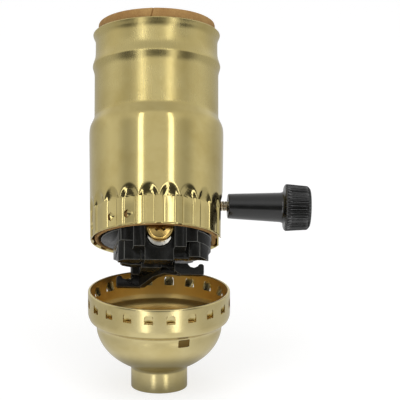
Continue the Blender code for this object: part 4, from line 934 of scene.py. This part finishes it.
@dataclass
class Shell:
    """The drawn brass shell with its fluted skirt and teeth, and the board liner inside it."""

    height: float = 57.9
    wall: float = 0.35
    foot_radius: float = 17.7
    body_radius: float = 18.13
    body_height: float = 29.9
    shoulder: float = 4.1
    tube_radius: float = 16.75
    low_bead: tuple[float, float] = (17.3, 48.45)       # radius and height
    necked_radius: float = 16.5
    top_bead_radius: float = 17.2
    rim_curl: float = 0.45
    flare: float = 1.75
    flutes: int = 20
    first_panel_deg: float = -78.0
    panel_half: float = 1.55
    panel_side: float = 0.45
    panel_top: float = 7.8
    panel_depth: float = 0.42
    scoop_size: tuple[float, float] = (2.55, 4.0)       # half width and height
    scoop_depth: float = 0.86
    chatter: float = 0.05
    slot_width: float = 8.0
    slot_above_stem: float = 4.2
    tooth_panels: tuple[int, ...] = (-2, -3, -5, 7, 8)  # counted from the first panel
    tooth_height: float = 3.2
    liner_wall: float = 1.1
    liner_slot: float = 6.0
    liner_standout: float = 2.8
    liner_radii: tuple[float, float] = (16.6, 15.85)
    columns_in_flute: int = 17
    seam_deg: float = -95.5
    seam_lean: float = -0.0157      # radians for each millimetre down
    seam_depth: float = 0.5
    liner_lap: float = 0.12

    def outside(self) -> np.ndarray:
        """The plain outside line, without the flutes, from the lower edge to the rim.

        Returns:
            (radius, height) points.
        """
        drop = self.body_radius - self.tube_radius
        top = self.body_height + self.shoulder
        low_radius, low = self.low_bead
        high_radius, high = self.top_bead_radius, self.height - self.rim_curl
        line = [(self.foot_radius, 0.0), (self.body_radius, self.body_height - 0.4),
                (self.body_radius - 0.10 * drop, self.body_height + 0.35 * self.shoulder),
                (self.body_radius - 0.62 * drop, self.body_height + 0.72 * self.shoulder),
                (self.tube_radius, top), (self.tube_radius, low - self.flare - 0.15),
                (low_radius - 0.08, low - 0.3), (low_radius, low + 0.1), (low_radius - 0.12, low + 0.7),
                (0.5 * (self.tube_radius + self.necked_radius), low + 2.4),
                (self.necked_radius, low + 3.8), (self.necked_radius, high - self.flare + 0.1),
                (high_radius - 0.06, high - 0.15), (high_radius, high + 0.1),
                (high_radius - 0.1, high + 0.55 * self.rim_curl),
                (high_radius - 0.8 * self.rim_curl, self.height)]
        return softened(line, 0.9, 6)

    def rows(self) -> np.ndarray:
        """The outside line's points, close together where the flutes end.

        Returns:
            (radius, height) points.
        """
        line = self.outside()
        top, rise = self.panel_top, self.scoop_size[1]
        spans = ((0.0, 0.8, 6), (1.4, top - 0.6, 9), (top - 0.3, top + 0.3, 8),
                 (top + 0.45, top + rise + 0.2, 18), (top + rise + 1.5, 28.5, 8))
        heights = np.concatenate([np.linspace(*span) for span in spans])
        low = np.stack([np.interp(heights, line[:, 1], line[:, 0]), heights], axis=1)
        upper = resampled(line[line[:, 1] > 29.0], 0.8)
        return np.vstack([low, upper])

    def dent(self, angles: np.ndarray, heights: np.ndarray) -> np.ndarray:
        """How far the surface is pressed in.

        A panel is a flat-bottomed groove across the angle with sloping sides, a little deeper
        towards its top.  The scoop above it slopes from a soft arched upper edge down to the
        panel's top: depth s^2 (3 - 2 s), where s = 1.1 (sqrt(1 - (x / width)^2) - h / rise) at x
        across and h above it.  Crossed sine waves roughen it as the punch did.  The deeper of the
        two holds.

        Args:
            angles: Shape (columns,), in radians.
            heights: Shape (rows,), in millimetres.

        Returns:
            Depths, shape (rows, columns).
        """
        pitch = 2.0 * math.pi / self.flutes
        local = (angles - math.radians(self.first_panel_deg) + 0.5 * pitch) % pitch - 0.5 * pitch
        x = (local * self.body_radius)[None, :]
        h = heights[:, None]
        across = held((self.panel_half + self.panel_side - np.abs(x)) / self.panel_side)
        up = held(h / 0.5) * held((self.panel_top + 0.15 - h) / 0.15)
        deeper = 1.0 + 0.3 * held((h - self.panel_top + 2.0) / 2.0) ** 2
        panel = self.panel_depth * deeper * eased(across) * up
        width, rise = self.scoop_size
        arch = np.sqrt(held(1.0 - (x / width) ** 2))
        slope = held(1.1 * (arch - np.maximum(h - self.panel_top, 0.0) / rise))
        bowl = eased(slope)
        turn = angles[None, :] * self.body_radius
        coarse = np.sin(5.3 * turn + 3.1 * h) * np.sin(7.9 * h - 2.3 * turn)
        chatter = coarse + 0.6 * np.sin(11.0 * turn - 6.0 * h)
        rough = self.chatter * chatter * held(2.5 * bowl)
        scoop = (self.scoop_depth * bowl + rough) * (h > self.panel_top - 0.02)
        return np.maximum(panel, scoop)

    def slot(self, width: float) -> Solid:
        """The stem's slot, open at the lower edge and round at the top, as a cutter along x.

        Args:
            width: The slot's width.

        Returns:
            The points and the faces.
        """
        half = 0.5 * width
        top = STEM_HEIGHT + self.slot_above_stem - half
        turn = np.linspace(0.0, math.pi, 17)
        arch = np.stack([half * np.cos(turn), top + half * np.sin(turn)], axis=1)
        outline = np.vstack([[(-half, -2.0 * PAST), (half, -2.0 * PAST)], arch])
        points, faces = prism_points(outline, -self.body_radius - PAST, -0.5 * self.foot_radius)
        return spun(points, 90.0 + TWIST_DEG), faces

    def tooth(self, angle_deg: float) -> tuple[Solid, Solid]:
        """A lanced tooth and the slit at its left, on the panel at an angle from the front.

        Args:
            angle_deg: Where the panel stands.

        Returns:
            The tooth and the slit, each as points and faces.
        """
        face = self.foot_radius + 0.05 - self.panel_depth
        low, high = self.tooth_height - 1.2, self.tooth_height + 1.2
        middle = 0.5 * (low + high)
        root = -(face - 0.5 * self.wall)
        tip = -(face + 0.62)
        edge = 0.5 * (root + tip) - 0.1
        points = np.array([(-0.52, root, low), (-0.52, root, high), (1.15, root, middle),
                           (-0.3, tip, middle), (-0.42, edge, low + 0.35), (-0.42, edge, high - 0.35)])
        faces = [[0, 1, 2], [0, 2, 4], [2, 3, 4], [1, 5, 2], [2, 5, 3], [0, 4, 3, 5, 1]]
        slit = np.array([(-1.55, low + 0.5), (-0.5, low - 0.05), (-0.5, high + 0.05), (-1.55, high - 0.5)])
        slit_points, slit_faces = prism_points(slit, -face - PAST, -face + self.wall + 0.6)
        return (spun(points, angle_deg), faces), (spun(slit_points, angle_deg), slit_faces)

    def build(self, dresser: Dresser) -> None:
        """Builds and dresses the shell and its liner.

        Args:
            dresser: Who gives them their finish.
        """
        angles = even_angles(self.flutes * self.columns_in_flute, self.first_panel_deg)
        loop = sheet_loop(self.rows(), self.wall)
        pressed = self.dent(angles, loop[:, 1])
        outer = turned("outer_shell_drawn", loop[:, :1] - pressed, loop[:, 1:], angles, LEANING,
                       sharp_deg=30.0)
        drawn = held((loop[:, 1:] - self.body_height - 1.0) / self.shoulder)
        mark_worn_or_painted_light(outer, np.broadcast_to(drawn, pressed.shape))
        step = 360.0 / self.flutes
        pairs = [self.tooth(self.first_panel_deg + 90.0 + step * panel) for panel in self.tooth_panels]
        cut(outer, [self.slot(self.slot_width), *[slit for _, slit in pairs]], LEANING)
        cut(outer, [tooth for tooth, _ in pairs], LEANING, Joining.JOINED_ON)
        dresser.dress(outer, DRAWN_BRASS, "shell", "shell_brass", "outer_shell")

        wide, narrow = self.liner_radii
        bend, upper = self.body_height - 1.0, self.body_height + self.shoulder - 0.5
        line = softened([(wide, 0.0), (wide, bend), (narrow, upper),
                         (narrow, self.height + self.liner_standout)], 1.5, 5)
        section = sheet_loop(resampled(line, 1.5), self.liner_wall)
        # the board winds in by the lap in one turn, and a groove marks its free edge
        fine = np.linspace(0.0, 0.1, 24)
        round_way = np.concatenate([fine, np.linspace(0.1, 2.0 * math.pi, 220)[1:-1]])
        groove = self.seam_depth * np.exp(-((round_way - 0.05) / 0.008) ** 2)
        lap = self.liner_lap * round_way / (2.0 * math.pi)
        lean = math.radians(self.seam_deg) - self.seam_lean * (section[:, 1:] - section[:, 1].max())
        outside = np.interp(section[:, 1:], line[:, 1], line[:, 0])
        skin = (np.abs(section[:, :1] - outside) < 0.4).astype(float)
        radius = section[:, :1] - skin * (groove + lap)
        liner = turned("insulating_sleeve_rolled", radius, section[:, 1:], round_way, LEANING, lean=lean)
        cut(liner, [self.slot(self.liner_slot)], LEANING)
        dresser.dress(liner, FISH_PAPER, "shell", "cardboard", "insulating_sleeve")


@dataclass
class SwitchBody:
    """The black moulding with its terminals, its lamp seat and the fasteners."""

    screw_radius: float = 13.6
    screw_depth: float = 0.85
    screw_pitch: float = 3.63
    screw_length: float = 24.0
    screw_wall: float = 0.3
    screw_floor: float = 30.7
    floor_hole: float = 6.5
    head_radius: float = 3.9
    head_under: float = 11.5
    head_thickness: float = 2.0
    shank_radius: float = 1.5
    shank_length: float = 4.7
    terminal_height: float = 0.5
    recess_deg: float = 45.0
    recess_depth: float = 1.1
    recess_half: tuple[float, float] = (1.15, 2.15)
    recess_bar: float = 0.48
    edge_width: float = 0.13
    screw_grid: tuple[int, int] = (100, 120)    # rows and columns
    head_columns: int = 72
    rivet_columns: int = 48
    rivet_radius: float = 0.9
    rivet_head: float = 1.8
    body_rivet_foot: float = -4.8
    shell_rivet_offset: float = 8.8
    body_rivet_offset: float = 8.4

    def screw_shell(self) -> Piece:
        """The rolled screw shell: r = R - d (0.5 - 0.5 cos(2 pi h / pitch - a)), fading at both ends.

        Returns:
            The screw shell.
        """
        floor, top = self.screw_floor, self.screw_floor + self.screw_length
        heights = np.linspace(floor + 0.9, top, self.screw_grid[0])
        angles = even_angles(self.screw_grid[1])
        fade = held(np.minimum((heights - floor - 1.2) / 1.2, (top - heights) / 1.2))[:, None]
        wave = helix(heights, angles, self.screw_pitch)
        thread = self.screw_radius - self.screw_depth * (1.0 - wave) * fade
        base = softened([(self.floor_hole, floor), (self.screw_radius - 0.5, floor),
                         (self.screw_radius, floor + 0.9)], 0.6, 4)[:-1]
        lid = softened([(self.screw_radius - self.screw_wall, floor + 0.9 + self.screw_wall),
                        (self.screw_radius - 0.6 - self.screw_wall, floor + self.screw_wall),
                        (self.floor_hole, floor + self.screw_wall)], 0.5, 4)[1:]
        wide = np.ones((1, len(angles)))
        radius = np.vstack([base[:, :1] * wide, thread, thread[::-1] - self.screw_wall, lid[:, :1] * wide])
        height = np.vstack([base[:, 1:], heights[:, None], heights[::-1, None], lid[:, 1:]]) * wide
        return turned("screw_shell_rolled", radius, height, angles, TWISTED)

    def terminal_screw(self, name: str, side: float) -> Piece:
        """A binding-head screw with a domed head and a cross recess.

        Args:
            name: The piece's name.
            side: -1 for the front, 1 for the rear.

        Returns:
            The screw, lying along y.
        """
        under, head = self.head_under, self.head_under + self.head_thickness
        tip, shank, wide = under - self.shank_length, self.shank_radius, self.head_radius
        line = softened([(0.02, tip), (shank - 0.4, tip), (shank, tip + 0.6), (shank, under),
                         (wide, under), (wide, head - 1.0), (0.82 * wide, head - 0.28),
                         (0.4 * wide, head - 0.03), (0.02, head)], 0.35, 4)
        place = Place(TWISTED.matrix @ Matrix.Translation((0.0, 0.0, self.terminal_height))
                      @ about("X", -90.0 * side) @ about("Z", self.recess_deg))
        screw = turned_line(name, line, place, self.head_columns)
        low, high = head - self.recess_depth, head + 0.6
        half, half_above = self.recess_half
        bar = np.array([(-half, low), (half, low), (half_above, high), (-half_above, high)])
        for angle, thin in ((0.0, self.recess_bar + 0.005), (90.0, self.recess_bar)):
            points, faces = prism_points(bar, -thin, thin)
            cut(screw, [(spun(points, angle), faces)], place)
        return screw

    def rivet(self, name: str, stops: list[tuple[float, float]], x: float, y: float) -> Piece:
        """A small headed pin along z.

        Args:
            name: The piece's name.
            stops: Its outline, as (radius, height) points.
            x: Where it stands across.
            y: Where it stands from front to rear.

        Returns:
            The pin.
        """
        place = Place(TWISTED.matrix @ Matrix.Translation((x, y, 0.0)))
        return turned_line(name, softened(stops, 0.22, 4), place, self.rivet_columns)

    def build(self, dresser: Dresser) -> None:
        """Builds and dresses the switch body's pieces.

        Args:
            dresser: Who gives them their finish.
        """
        for node in ("switch_housing", "base_anchor"):
            # the rounded edges are painted a lighter grey: a painted highlight along each edge
            moulded = rounded_copy(node, self.edge_width, 1, dresser.material(PAINTED_EDGE_HIGHLIGHT))
            dresser.dress(moulded, PHENOLIC, "interior", "phenolic", node)
        dresser.dress(self.screw_shell(), NICKEL_PLATE, "interior", "nickel", "screw_shell")
        screws = (("hot_terminal", -1.0, TURNED_BRASS, "turned_brass"),
                  ("neutral_terminal", 1.0, NICKEL_PLATE, "nickel"))
        for end, side, finish, slot in screws:
            screw = self.terminal_screw(end + "_screw_turned", side)
            dresser.dress(screw, finish, "interior", slot, end + "_screw")
        stamped = (("hot_terminal_plate", 0.1, NICKEL_PLATE, "nickel"),
                   ("neutral_terminal_plate", 0.1, NICKEL_PLATE, "nickel"),
                   ("centre_contact", 0.08, STAMPED_BRASS, "turned_brass"))
        for node, width, finish, slot in stamped:
            dresser.dress(rounded_copy(node, width), finish, "interior", slot, node)
        pin, wide = self.rivet_radius, self.rivet_head
        head, foot = self.screw_floor + self.screw_wall + 0.3, self.body_rivet_foot
        upper = [(0.02, head - 8.0), (pin, head - 8.0), (pin, head), (wide, head), (wide, head + 0.35),
                 (wide - 0.8, head + 0.62), (0.02, head + 0.66)]
        lower = [(0.02, foot - 0.62), (wide - 0.7, foot - 0.6), (wide, foot - 0.3), (wide, foot),
                 (pin, foot), (pin, 3.2), (0.02, 3.2)]
        apart, apart_below = self.shell_rivet_offset, self.body_rivet_offset
        rivets = (("shell_rivet_front", upper, 0.0, -apart, TURNED_BRASS, "turned_brass"),
                  ("shell_rivet_rear", upper, 0.0, apart, TURNED_BRASS, "turned_brass"),
                  ("body_rivet_left", lower, -apart_below, 0.0, ZINC_STEEL, "steel"),
                  ("body_rivet_right", lower, apart_below, 0.0, ZINC_STEEL, "steel"))
        for node, stops, x, y, finish, slot in rivets:
            dresser.dress(self.rivet(node + "_set", stops, x, y), finish, "interior", slot, node)
        kept = (("centre_rivet", TURNED_BRASS), ("lamp_spring", STAMPED_BRASS), ("shell_disc", RED_FIBRE),
                ("stem_bushing", TURNED_BRASS))
        for node, finish in kept:
            dresser.keep(node, finish)


@dataclass
class KnobAndStem:
    """The serrated knob on its plated stem, with the cam and contact inside the switch."""

    foot: float = 19.3
    foot_radius: float = 3.33
    sleeve_radius: float = 4.0
    head_start: float = 34.5
    head_radius: float = 6.35
    end_radius: float = 5.85
    length: float = 22.5
    serrations: int = 36
    serration_depth: float = 0.55
    columns_in_serration: int = 8
    stem_radius: float = 1.35
    stem_span: tuple[float, float] = (-7.6, 36.0)
    stem_columns: int = 40
    thread_start: float = 15.0
    thread_pitch: float = 0.7
    thread_depth: float = 0.13
    bore: float = 1.65
    web: float = 5.6

    def knob(self) -> Piece:
        """The knob: a bore, a tapered sleeve, and a head with a serrated rim.

        On the head's side the radius is R - depth (0.5 + 0.5 cos(n a))^0.7, so the grooves
        are wide and the crests narrow.

        Returns:
            The knob.
        """
        start, end = self.head_start, self.foot + self.length
        sleeve, head, last = self.sleeve_radius, self.head_radius, self.end_radius
        line = softened([(0.02, end - self.web), (self.bore, end - self.web), (self.bore, self.foot),
                         (self.foot_radius, self.foot), (sleeve, start - 0.9), (sleeve + 0.25, start - 0.25),
                         (sleeve + 0.9, start), (head - 0.5, start), (head, start + 0.5),
                         (last + 0.05, end - 0.9), (last - 0.9, end - 0.18), (0.02, end)], 0.35, 4)
        line = resampled(line, 1.2)
        angles = even_angles(self.serrations * self.columns_in_serration)
        wave = (0.5 + 0.5 * np.cos(self.serrations * angles)) ** 0.7
        along = held((line[:, 1] - start - 0.1) / 0.8)
        share = along * held((line[:, 0] - 4.9) / 0.7)
        radius = line[:, :1] - self.serration_depth * share[:, None] * wave[None, :]
        return turned("knob_moulded", radius, line[:, 1:], angles, KNOB_AXIS, closed=False, sharp_deg=50.0)

    def stem(self) -> Piece:
        """The stem, with a fine rolled thread from inside the shell outwards.

        Returns:
            The stem.
        """
        (low, high), start = self.stem_span, self.thread_start
        heights = np.concatenate([[low, low, low + 0.3], np.linspace(low + 1.0, start, 12),
                                  np.linspace(start + 0.2, high - 1.0, 180), [high - 0.3, high, high]])
        angles = even_angles(self.stem_columns)
        thread = held((heights - start) / 0.6) * held((high - 0.6 - heights) / 0.6)
        wave = helix(heights, angles, self.thread_pitch)
        radius = self.stem_radius - self.thread_depth * thread[:, None] * wave
        radius[[0, -1]] = 0.02
        radius[[1, -2]] = self.stem_radius - 0.2
        return turned("stem_threaded", radius, heights[:, None], angles, KNOB_AXIS, closed=False)

    def build(self, dresser: Dresser) -> None:
        """Builds and dresses the knob's pieces.

        Args:
            dresser: Who gives them their finish.
        """
        dresser.dress(self.knob(), KNOB_PHENOLIC, "knob", "knob_black", "knob")
        dresser.dress(self.stem(), STEM_METAL, "knob", "steel", "stem")
        kept = (("stem_clip", ZINC_STEEL), ("switch_cam", RED_FIBRE), ("cam_contact", STAMPED_BRASS))
        for node, finish in kept:
            dresser.keep(node, finish)


@dataclass
class Studio:
    """The floor, the lamps, the world and the camera."""

    camera_mm: tuple[float, float, float] = (10.948, -1342.667, 423.966)
    camera_elevation_deg: float = 15.5
    lens_mm: float = 471.9
    sensor_mm: float = 36.0
    floor_radius_mm: float = 700.0
    floor_corners: int = 96
    room_light: float = 0.5         # what the room adds to matt surfaces
    floor_glow: float = 0.70        # what lifts the floor to white without drowning the shadow
    floor_shade: float = 0.42
    floor_tones: tuple[float, float] = (0.80, 0.82)
    fleck_mm: float = 10.0 / 9.0    # size of the floor's faint flecks
    painted_shadow_mm: tuple[float, float] = (10.0, 22.0)      # where the painted shadow under the cap fades out
    # brightness of that painted shadow, which only metal sees
    painted_shadow_glow: float = 0.35
    # each lamp's name, azimuth and roll in degrees
    strips: tuple[tuple[str, float, float], ...] = (("strip_left", -31.0, 11.0), ("strip_right", 32.5, -6.0))
    strip_size_mm: tuple[float, float] = (150.0, 1650.0)
    strip_distance_mm: float = 850.0
    strip_height_mm: float = 470.0
    strip_radiance: float = 2.6
    panel_size_mm: float = 900.0
    panel_forward_mm: float = 200.0
    panel_height_mm: float = 1200.0
    panel_radiance: float = 1.6
    # elevation in degrees and brightness, of what metal sees ahead and at the sides
    front_walls: tuple[tuple[float, float], ...] = (
        (-90.0, 1.05), (-50.0, 0.95), (-30.0, 0.86), (-10.0, 0.80), (-4.0, 0.25), (0.0, 0.06), (20.0, 0.08),
        (30.0, 0.40), (42.0, 0.88), (60.0, 0.88), (78.0, 0.70), (90.0, 0.65))
    side_walls: tuple[tuple[float, float], ...] = (
        (-90.0, 1.0), (-45.0, 0.75), (-15.0, 0.60), (0.0, 0.65), (15.0, 0.92), (35.0, 0.80), (60.0, 0.75),
        (90.0, 0.65))
    # how far forward a ray points, where the front walls are seen in full and where no more
    front_from: tuple[float, float] = (-0.55, -0.1)

    @staticmethod
    def by_height(stops: list[tuple[float, float]]) -> list[tuple[float, Colour]]:
        """Ramp stops from (elevation in degrees, brightness): a ramp reads (1 + sin elevation) / 2."""
        return [(0.5 + 0.5 * math.sin(math.radians(lift)), grey(light)) for lift, light in stops]

    def world(self) -> None:
        """A white room for the camera; metal sees pale walls that darken towards the horizon."""
        made = bpy.data.worlds.new("studio")
        bpy.context.scene.world = made
        made.use_nodes = True
        tree = made.node_tree
        tree.nodes.clear()
        place = add_node(tree, "ShaderNodeTexCoord")
        way = add_node(tree, "ShaderNodeSeparateXYZ", None, {"Vector": place.outputs["Generated"]})
        lift = add_node(tree, "ShaderNodeMapRange", None,
                        {"Value": way.outputs["Z"], "From Min": -1.0, "From Max": 1.0})
        fully, barely = self.front_from
        ahead = add_node(tree, "ShaderNodeMapRange", {"interpolation_type": "SMOOTHSTEP"},
                         {"Value": way.outputs["Y"], "From Min": fully, "From Max": barely, "To Min": 1.0,
                          "To Max": 0.0})
        front = add_node(tree, "ShaderNodeValToRGB", None, {"Fac": lift.outputs["Result"]},
                         self.by_height(self.front_walls))
        sides = add_node(tree, "ShaderNodeValToRGB", None, {"Fac": lift.outputs["Result"]},
                         self.by_height(self.side_walls))
        walls = add_node(tree, "ShaderNodeMix", {"data_type": "RGBA"},
                         {"Factor": ahead.outputs["Result"], 6: sides.outputs["Color"],
                          7: front.outputs["Color"]})
        rays = add_node(tree, "ShaderNodeLightPath")
        soft = add_node(tree, "ShaderNodeBackground", None, {"Color": grey(1.0), "Strength": self.room_light})
        room = add_node(tree, "ShaderNodeBackground", None, {"Color": walls.outputs[2], "Strength": 1.0})
        white = add_node(tree, "ShaderNodeBackground", None, {"Color": grey(1.0), "Strength": 1.0})
        seen = add_node(tree, "ShaderNodeMixShader", None,
                        {"Fac": rays.outputs["Is Glossy Ray"], 1: soft.outputs[0], 2: room.outputs[0]})
        clear = add_node(tree, "ShaderNodeMath", {"operation": "MAXIMUM"},
                         {0: rays.outputs["Is Camera Ray"], 1: rays.outputs["Is Transmission Ray"]})
        last = add_node(tree, "ShaderNodeMixShader", None,
                        {"Fac": clear.outputs[0], 1: seen.outputs[0], 2: white.outputs[0]})
        add_node(tree, "ShaderNodeOutputWorld", None, {"Surface": last.outputs[0]})

    def floor(self) -> None:
        """A plain pale disc that is white to the camera and keeps the shadow.  Metal sees only a painted
            shadow under the cap, a faint fixed glow, and past it the lit table that the world stands for."""
        angles = even_angles(self.floor_corners)
        ring = np.stack([self.floor_radius_mm * np.cos(angles), self.floor_radius_mm * np.sin(angles),
                         np.full_like(angles, -0.02)], axis=1)
        made = lay("floor", ring, [list(range(len(angles)))], UPRIGHT)
        surface = bpy.data.materials.new("matt_board_white")
        surface.use_nodes = True
        tree = surface.node_tree
        tree.nodes.clear()
        rays = add_node(tree, "ShaderNodeLightPath")
        place = add_node(tree, "ShaderNodeTexCoord").outputs["Object"]
        flecks = add_node(tree, "ShaderNodeTexNoise", None,
                          {"Vector": place, "Scale": 1.0 / (self.fleck_mm * MM)})
        pale, paler = self.floor_tones
        tone = add_node(tree, "ShaderNodeValToRGB", None, {"Fac": flecks.outputs["Fac"]},
                        [(0.3, grey(pale)), (0.7, grey(paler))])
        plain = add_node(tree, "ShaderNodeBsdfDiffuse", None, {"Color": tone.outputs["Color"]})
        shaded = add_node(tree, "ShaderNodeBsdfDiffuse", None, {"Color": grey(self.floor_shade)})
        glow = add_node(tree, "ShaderNodeEmission", None, {"Color": grey(1.0), "Strength": self.floor_glow})
        both = add_node(tree, "ShaderNodeAddShader", None, {0: shaded.outputs[0], 1: glow.outputs[0]})
        seen = add_node(tree, "ShaderNodeMixShader", None,
                        {"Fac": rays.outputs["Is Camera Ray"], 1: plain.outputs[0], 2: both.outputs[0]})
        clear = add_node(tree, "ShaderNodeBsdfTransparent", None, {"Color": grey(1.0)})
        # painted shadow: a faint fixed glow that stands for the cap's shadow on the table, seen only in
        # reflections
        painted_shadow = add_node(tree, "ShaderNodeEmission", None, {"Color": grey(1.0), "Strength": self.painted_shadow_glow})
        away = add_node(tree, "ShaderNodeVectorMath", {"operation": "LENGTH"}, {0: place})
        near, far = self.painted_shadow_mm
        out = add_node(tree, "ShaderNodeMapRange", {"interpolation_type": "SMOOTHSTEP"},
                       {"Value": away.outputs["Value"], "From Min": near * MM, "From Max": far * MM})
        mirrored = add_node(tree, "ShaderNodeMixShader", None,
                            {"Fac": out.outputs["Result"], 1: painted_shadow.outputs[0], 2: clear.outputs[0]})
        last = add_node(tree, "ShaderNodeMixShader", None,
                        {"Fac": rays.outputs["Is Glossy Ray"], 1: seen.outputs[0], 2: mirrored.outputs[0]})
        add_node(tree, "ShaderNodeOutputMaterial", None, {"Surface": last.outputs[0]})
        made.data.materials.append(surface)

    @staticmethod
    def lamp(name: str, place: Vector, turn: Matrix, width: float, height: float, radiance: float) -> Piece:
        """A rectangular lamp that the camera doesn't see.

        Args:
            name: The lamp's name.
            place: Its centre in millimetres.
            turn: Its turn; it shines along its own -Z.
            width: Its width in millimetres.
            height: Its height in millimetres.
            radiance: Its brightness, where 1 shows white.

        Returns:
            The lamp.
        """
        data = bpy.data.lights.new(name, "AREA")
        data.shape = "RECTANGLE"
        data.size, data.size_y = width * MM, height * MM
        data.energy = radiance * math.pi * data.size * data.size_y
        made = bpy.data.objects.new(name, data)
        made.matrix_world = Matrix.Translation(place * MM) @ turn
        made.visible_camera = False
        bpy.context.scene.collection.objects.link(made)
        return made

    def build(self) -> None:
        """Sets the stage."""
        self.world()
        self.floor()
        width, height = self.strip_size_mm
        for name, azimuth_deg, roll_deg in self.strips:
            azimuth = math.radians(azimuth_deg)
            place = Vector((math.sin(azimuth), -math.cos(azimuth), 0.0)) * self.strip_distance_mm
            place.z = self.strip_height_mm
            turn = about("Z", azimuth_deg) @ about("X", 90.0) @ about("Z", roll_deg)
            self.lamp(name, place, turn, width, height, self.strip_radiance)
        above = Vector((0.0, -self.panel_forward_mm, self.panel_height_mm))
        panel = self.lamp("panel_top", above, Matrix.Identity(4), self.panel_size_mm, self.panel_size_mm,
                          self.panel_radiance)
        panel.visible_glossy = False
        camera = bpy.data.objects.new("camera", bpy.data.cameras.new("camera"))
        camera.data.lens = self.lens_mm
        camera.data.sensor_width = self.sensor_mm
        camera.location = Vector(self.camera_mm) * MM
        camera.rotation_euler = (math.radians(90.0 - self.camera_elevation_deg), 0.0, 0.0)
        bpy.context.scene.collection.objects.link(camera)
        bpy.context.scene.camera = camera
        bpy.context.scene.view_settings.view_transform = "Standard"


def main() -> None:
    """Builds the stage and the sub-assemblies in order."""
    logging.basicConfig(level=logging.INFO, format="%(name)s %(message)s")
    Studio().build()
    dresser = Dresser()
    for assembly in (Cap(), Shell(), SwitchBody(), KnobAndStem()):
        assembly.build(dresser)
    bpy.context.view_layer.update()


if __name__ == "__main__":
    main()
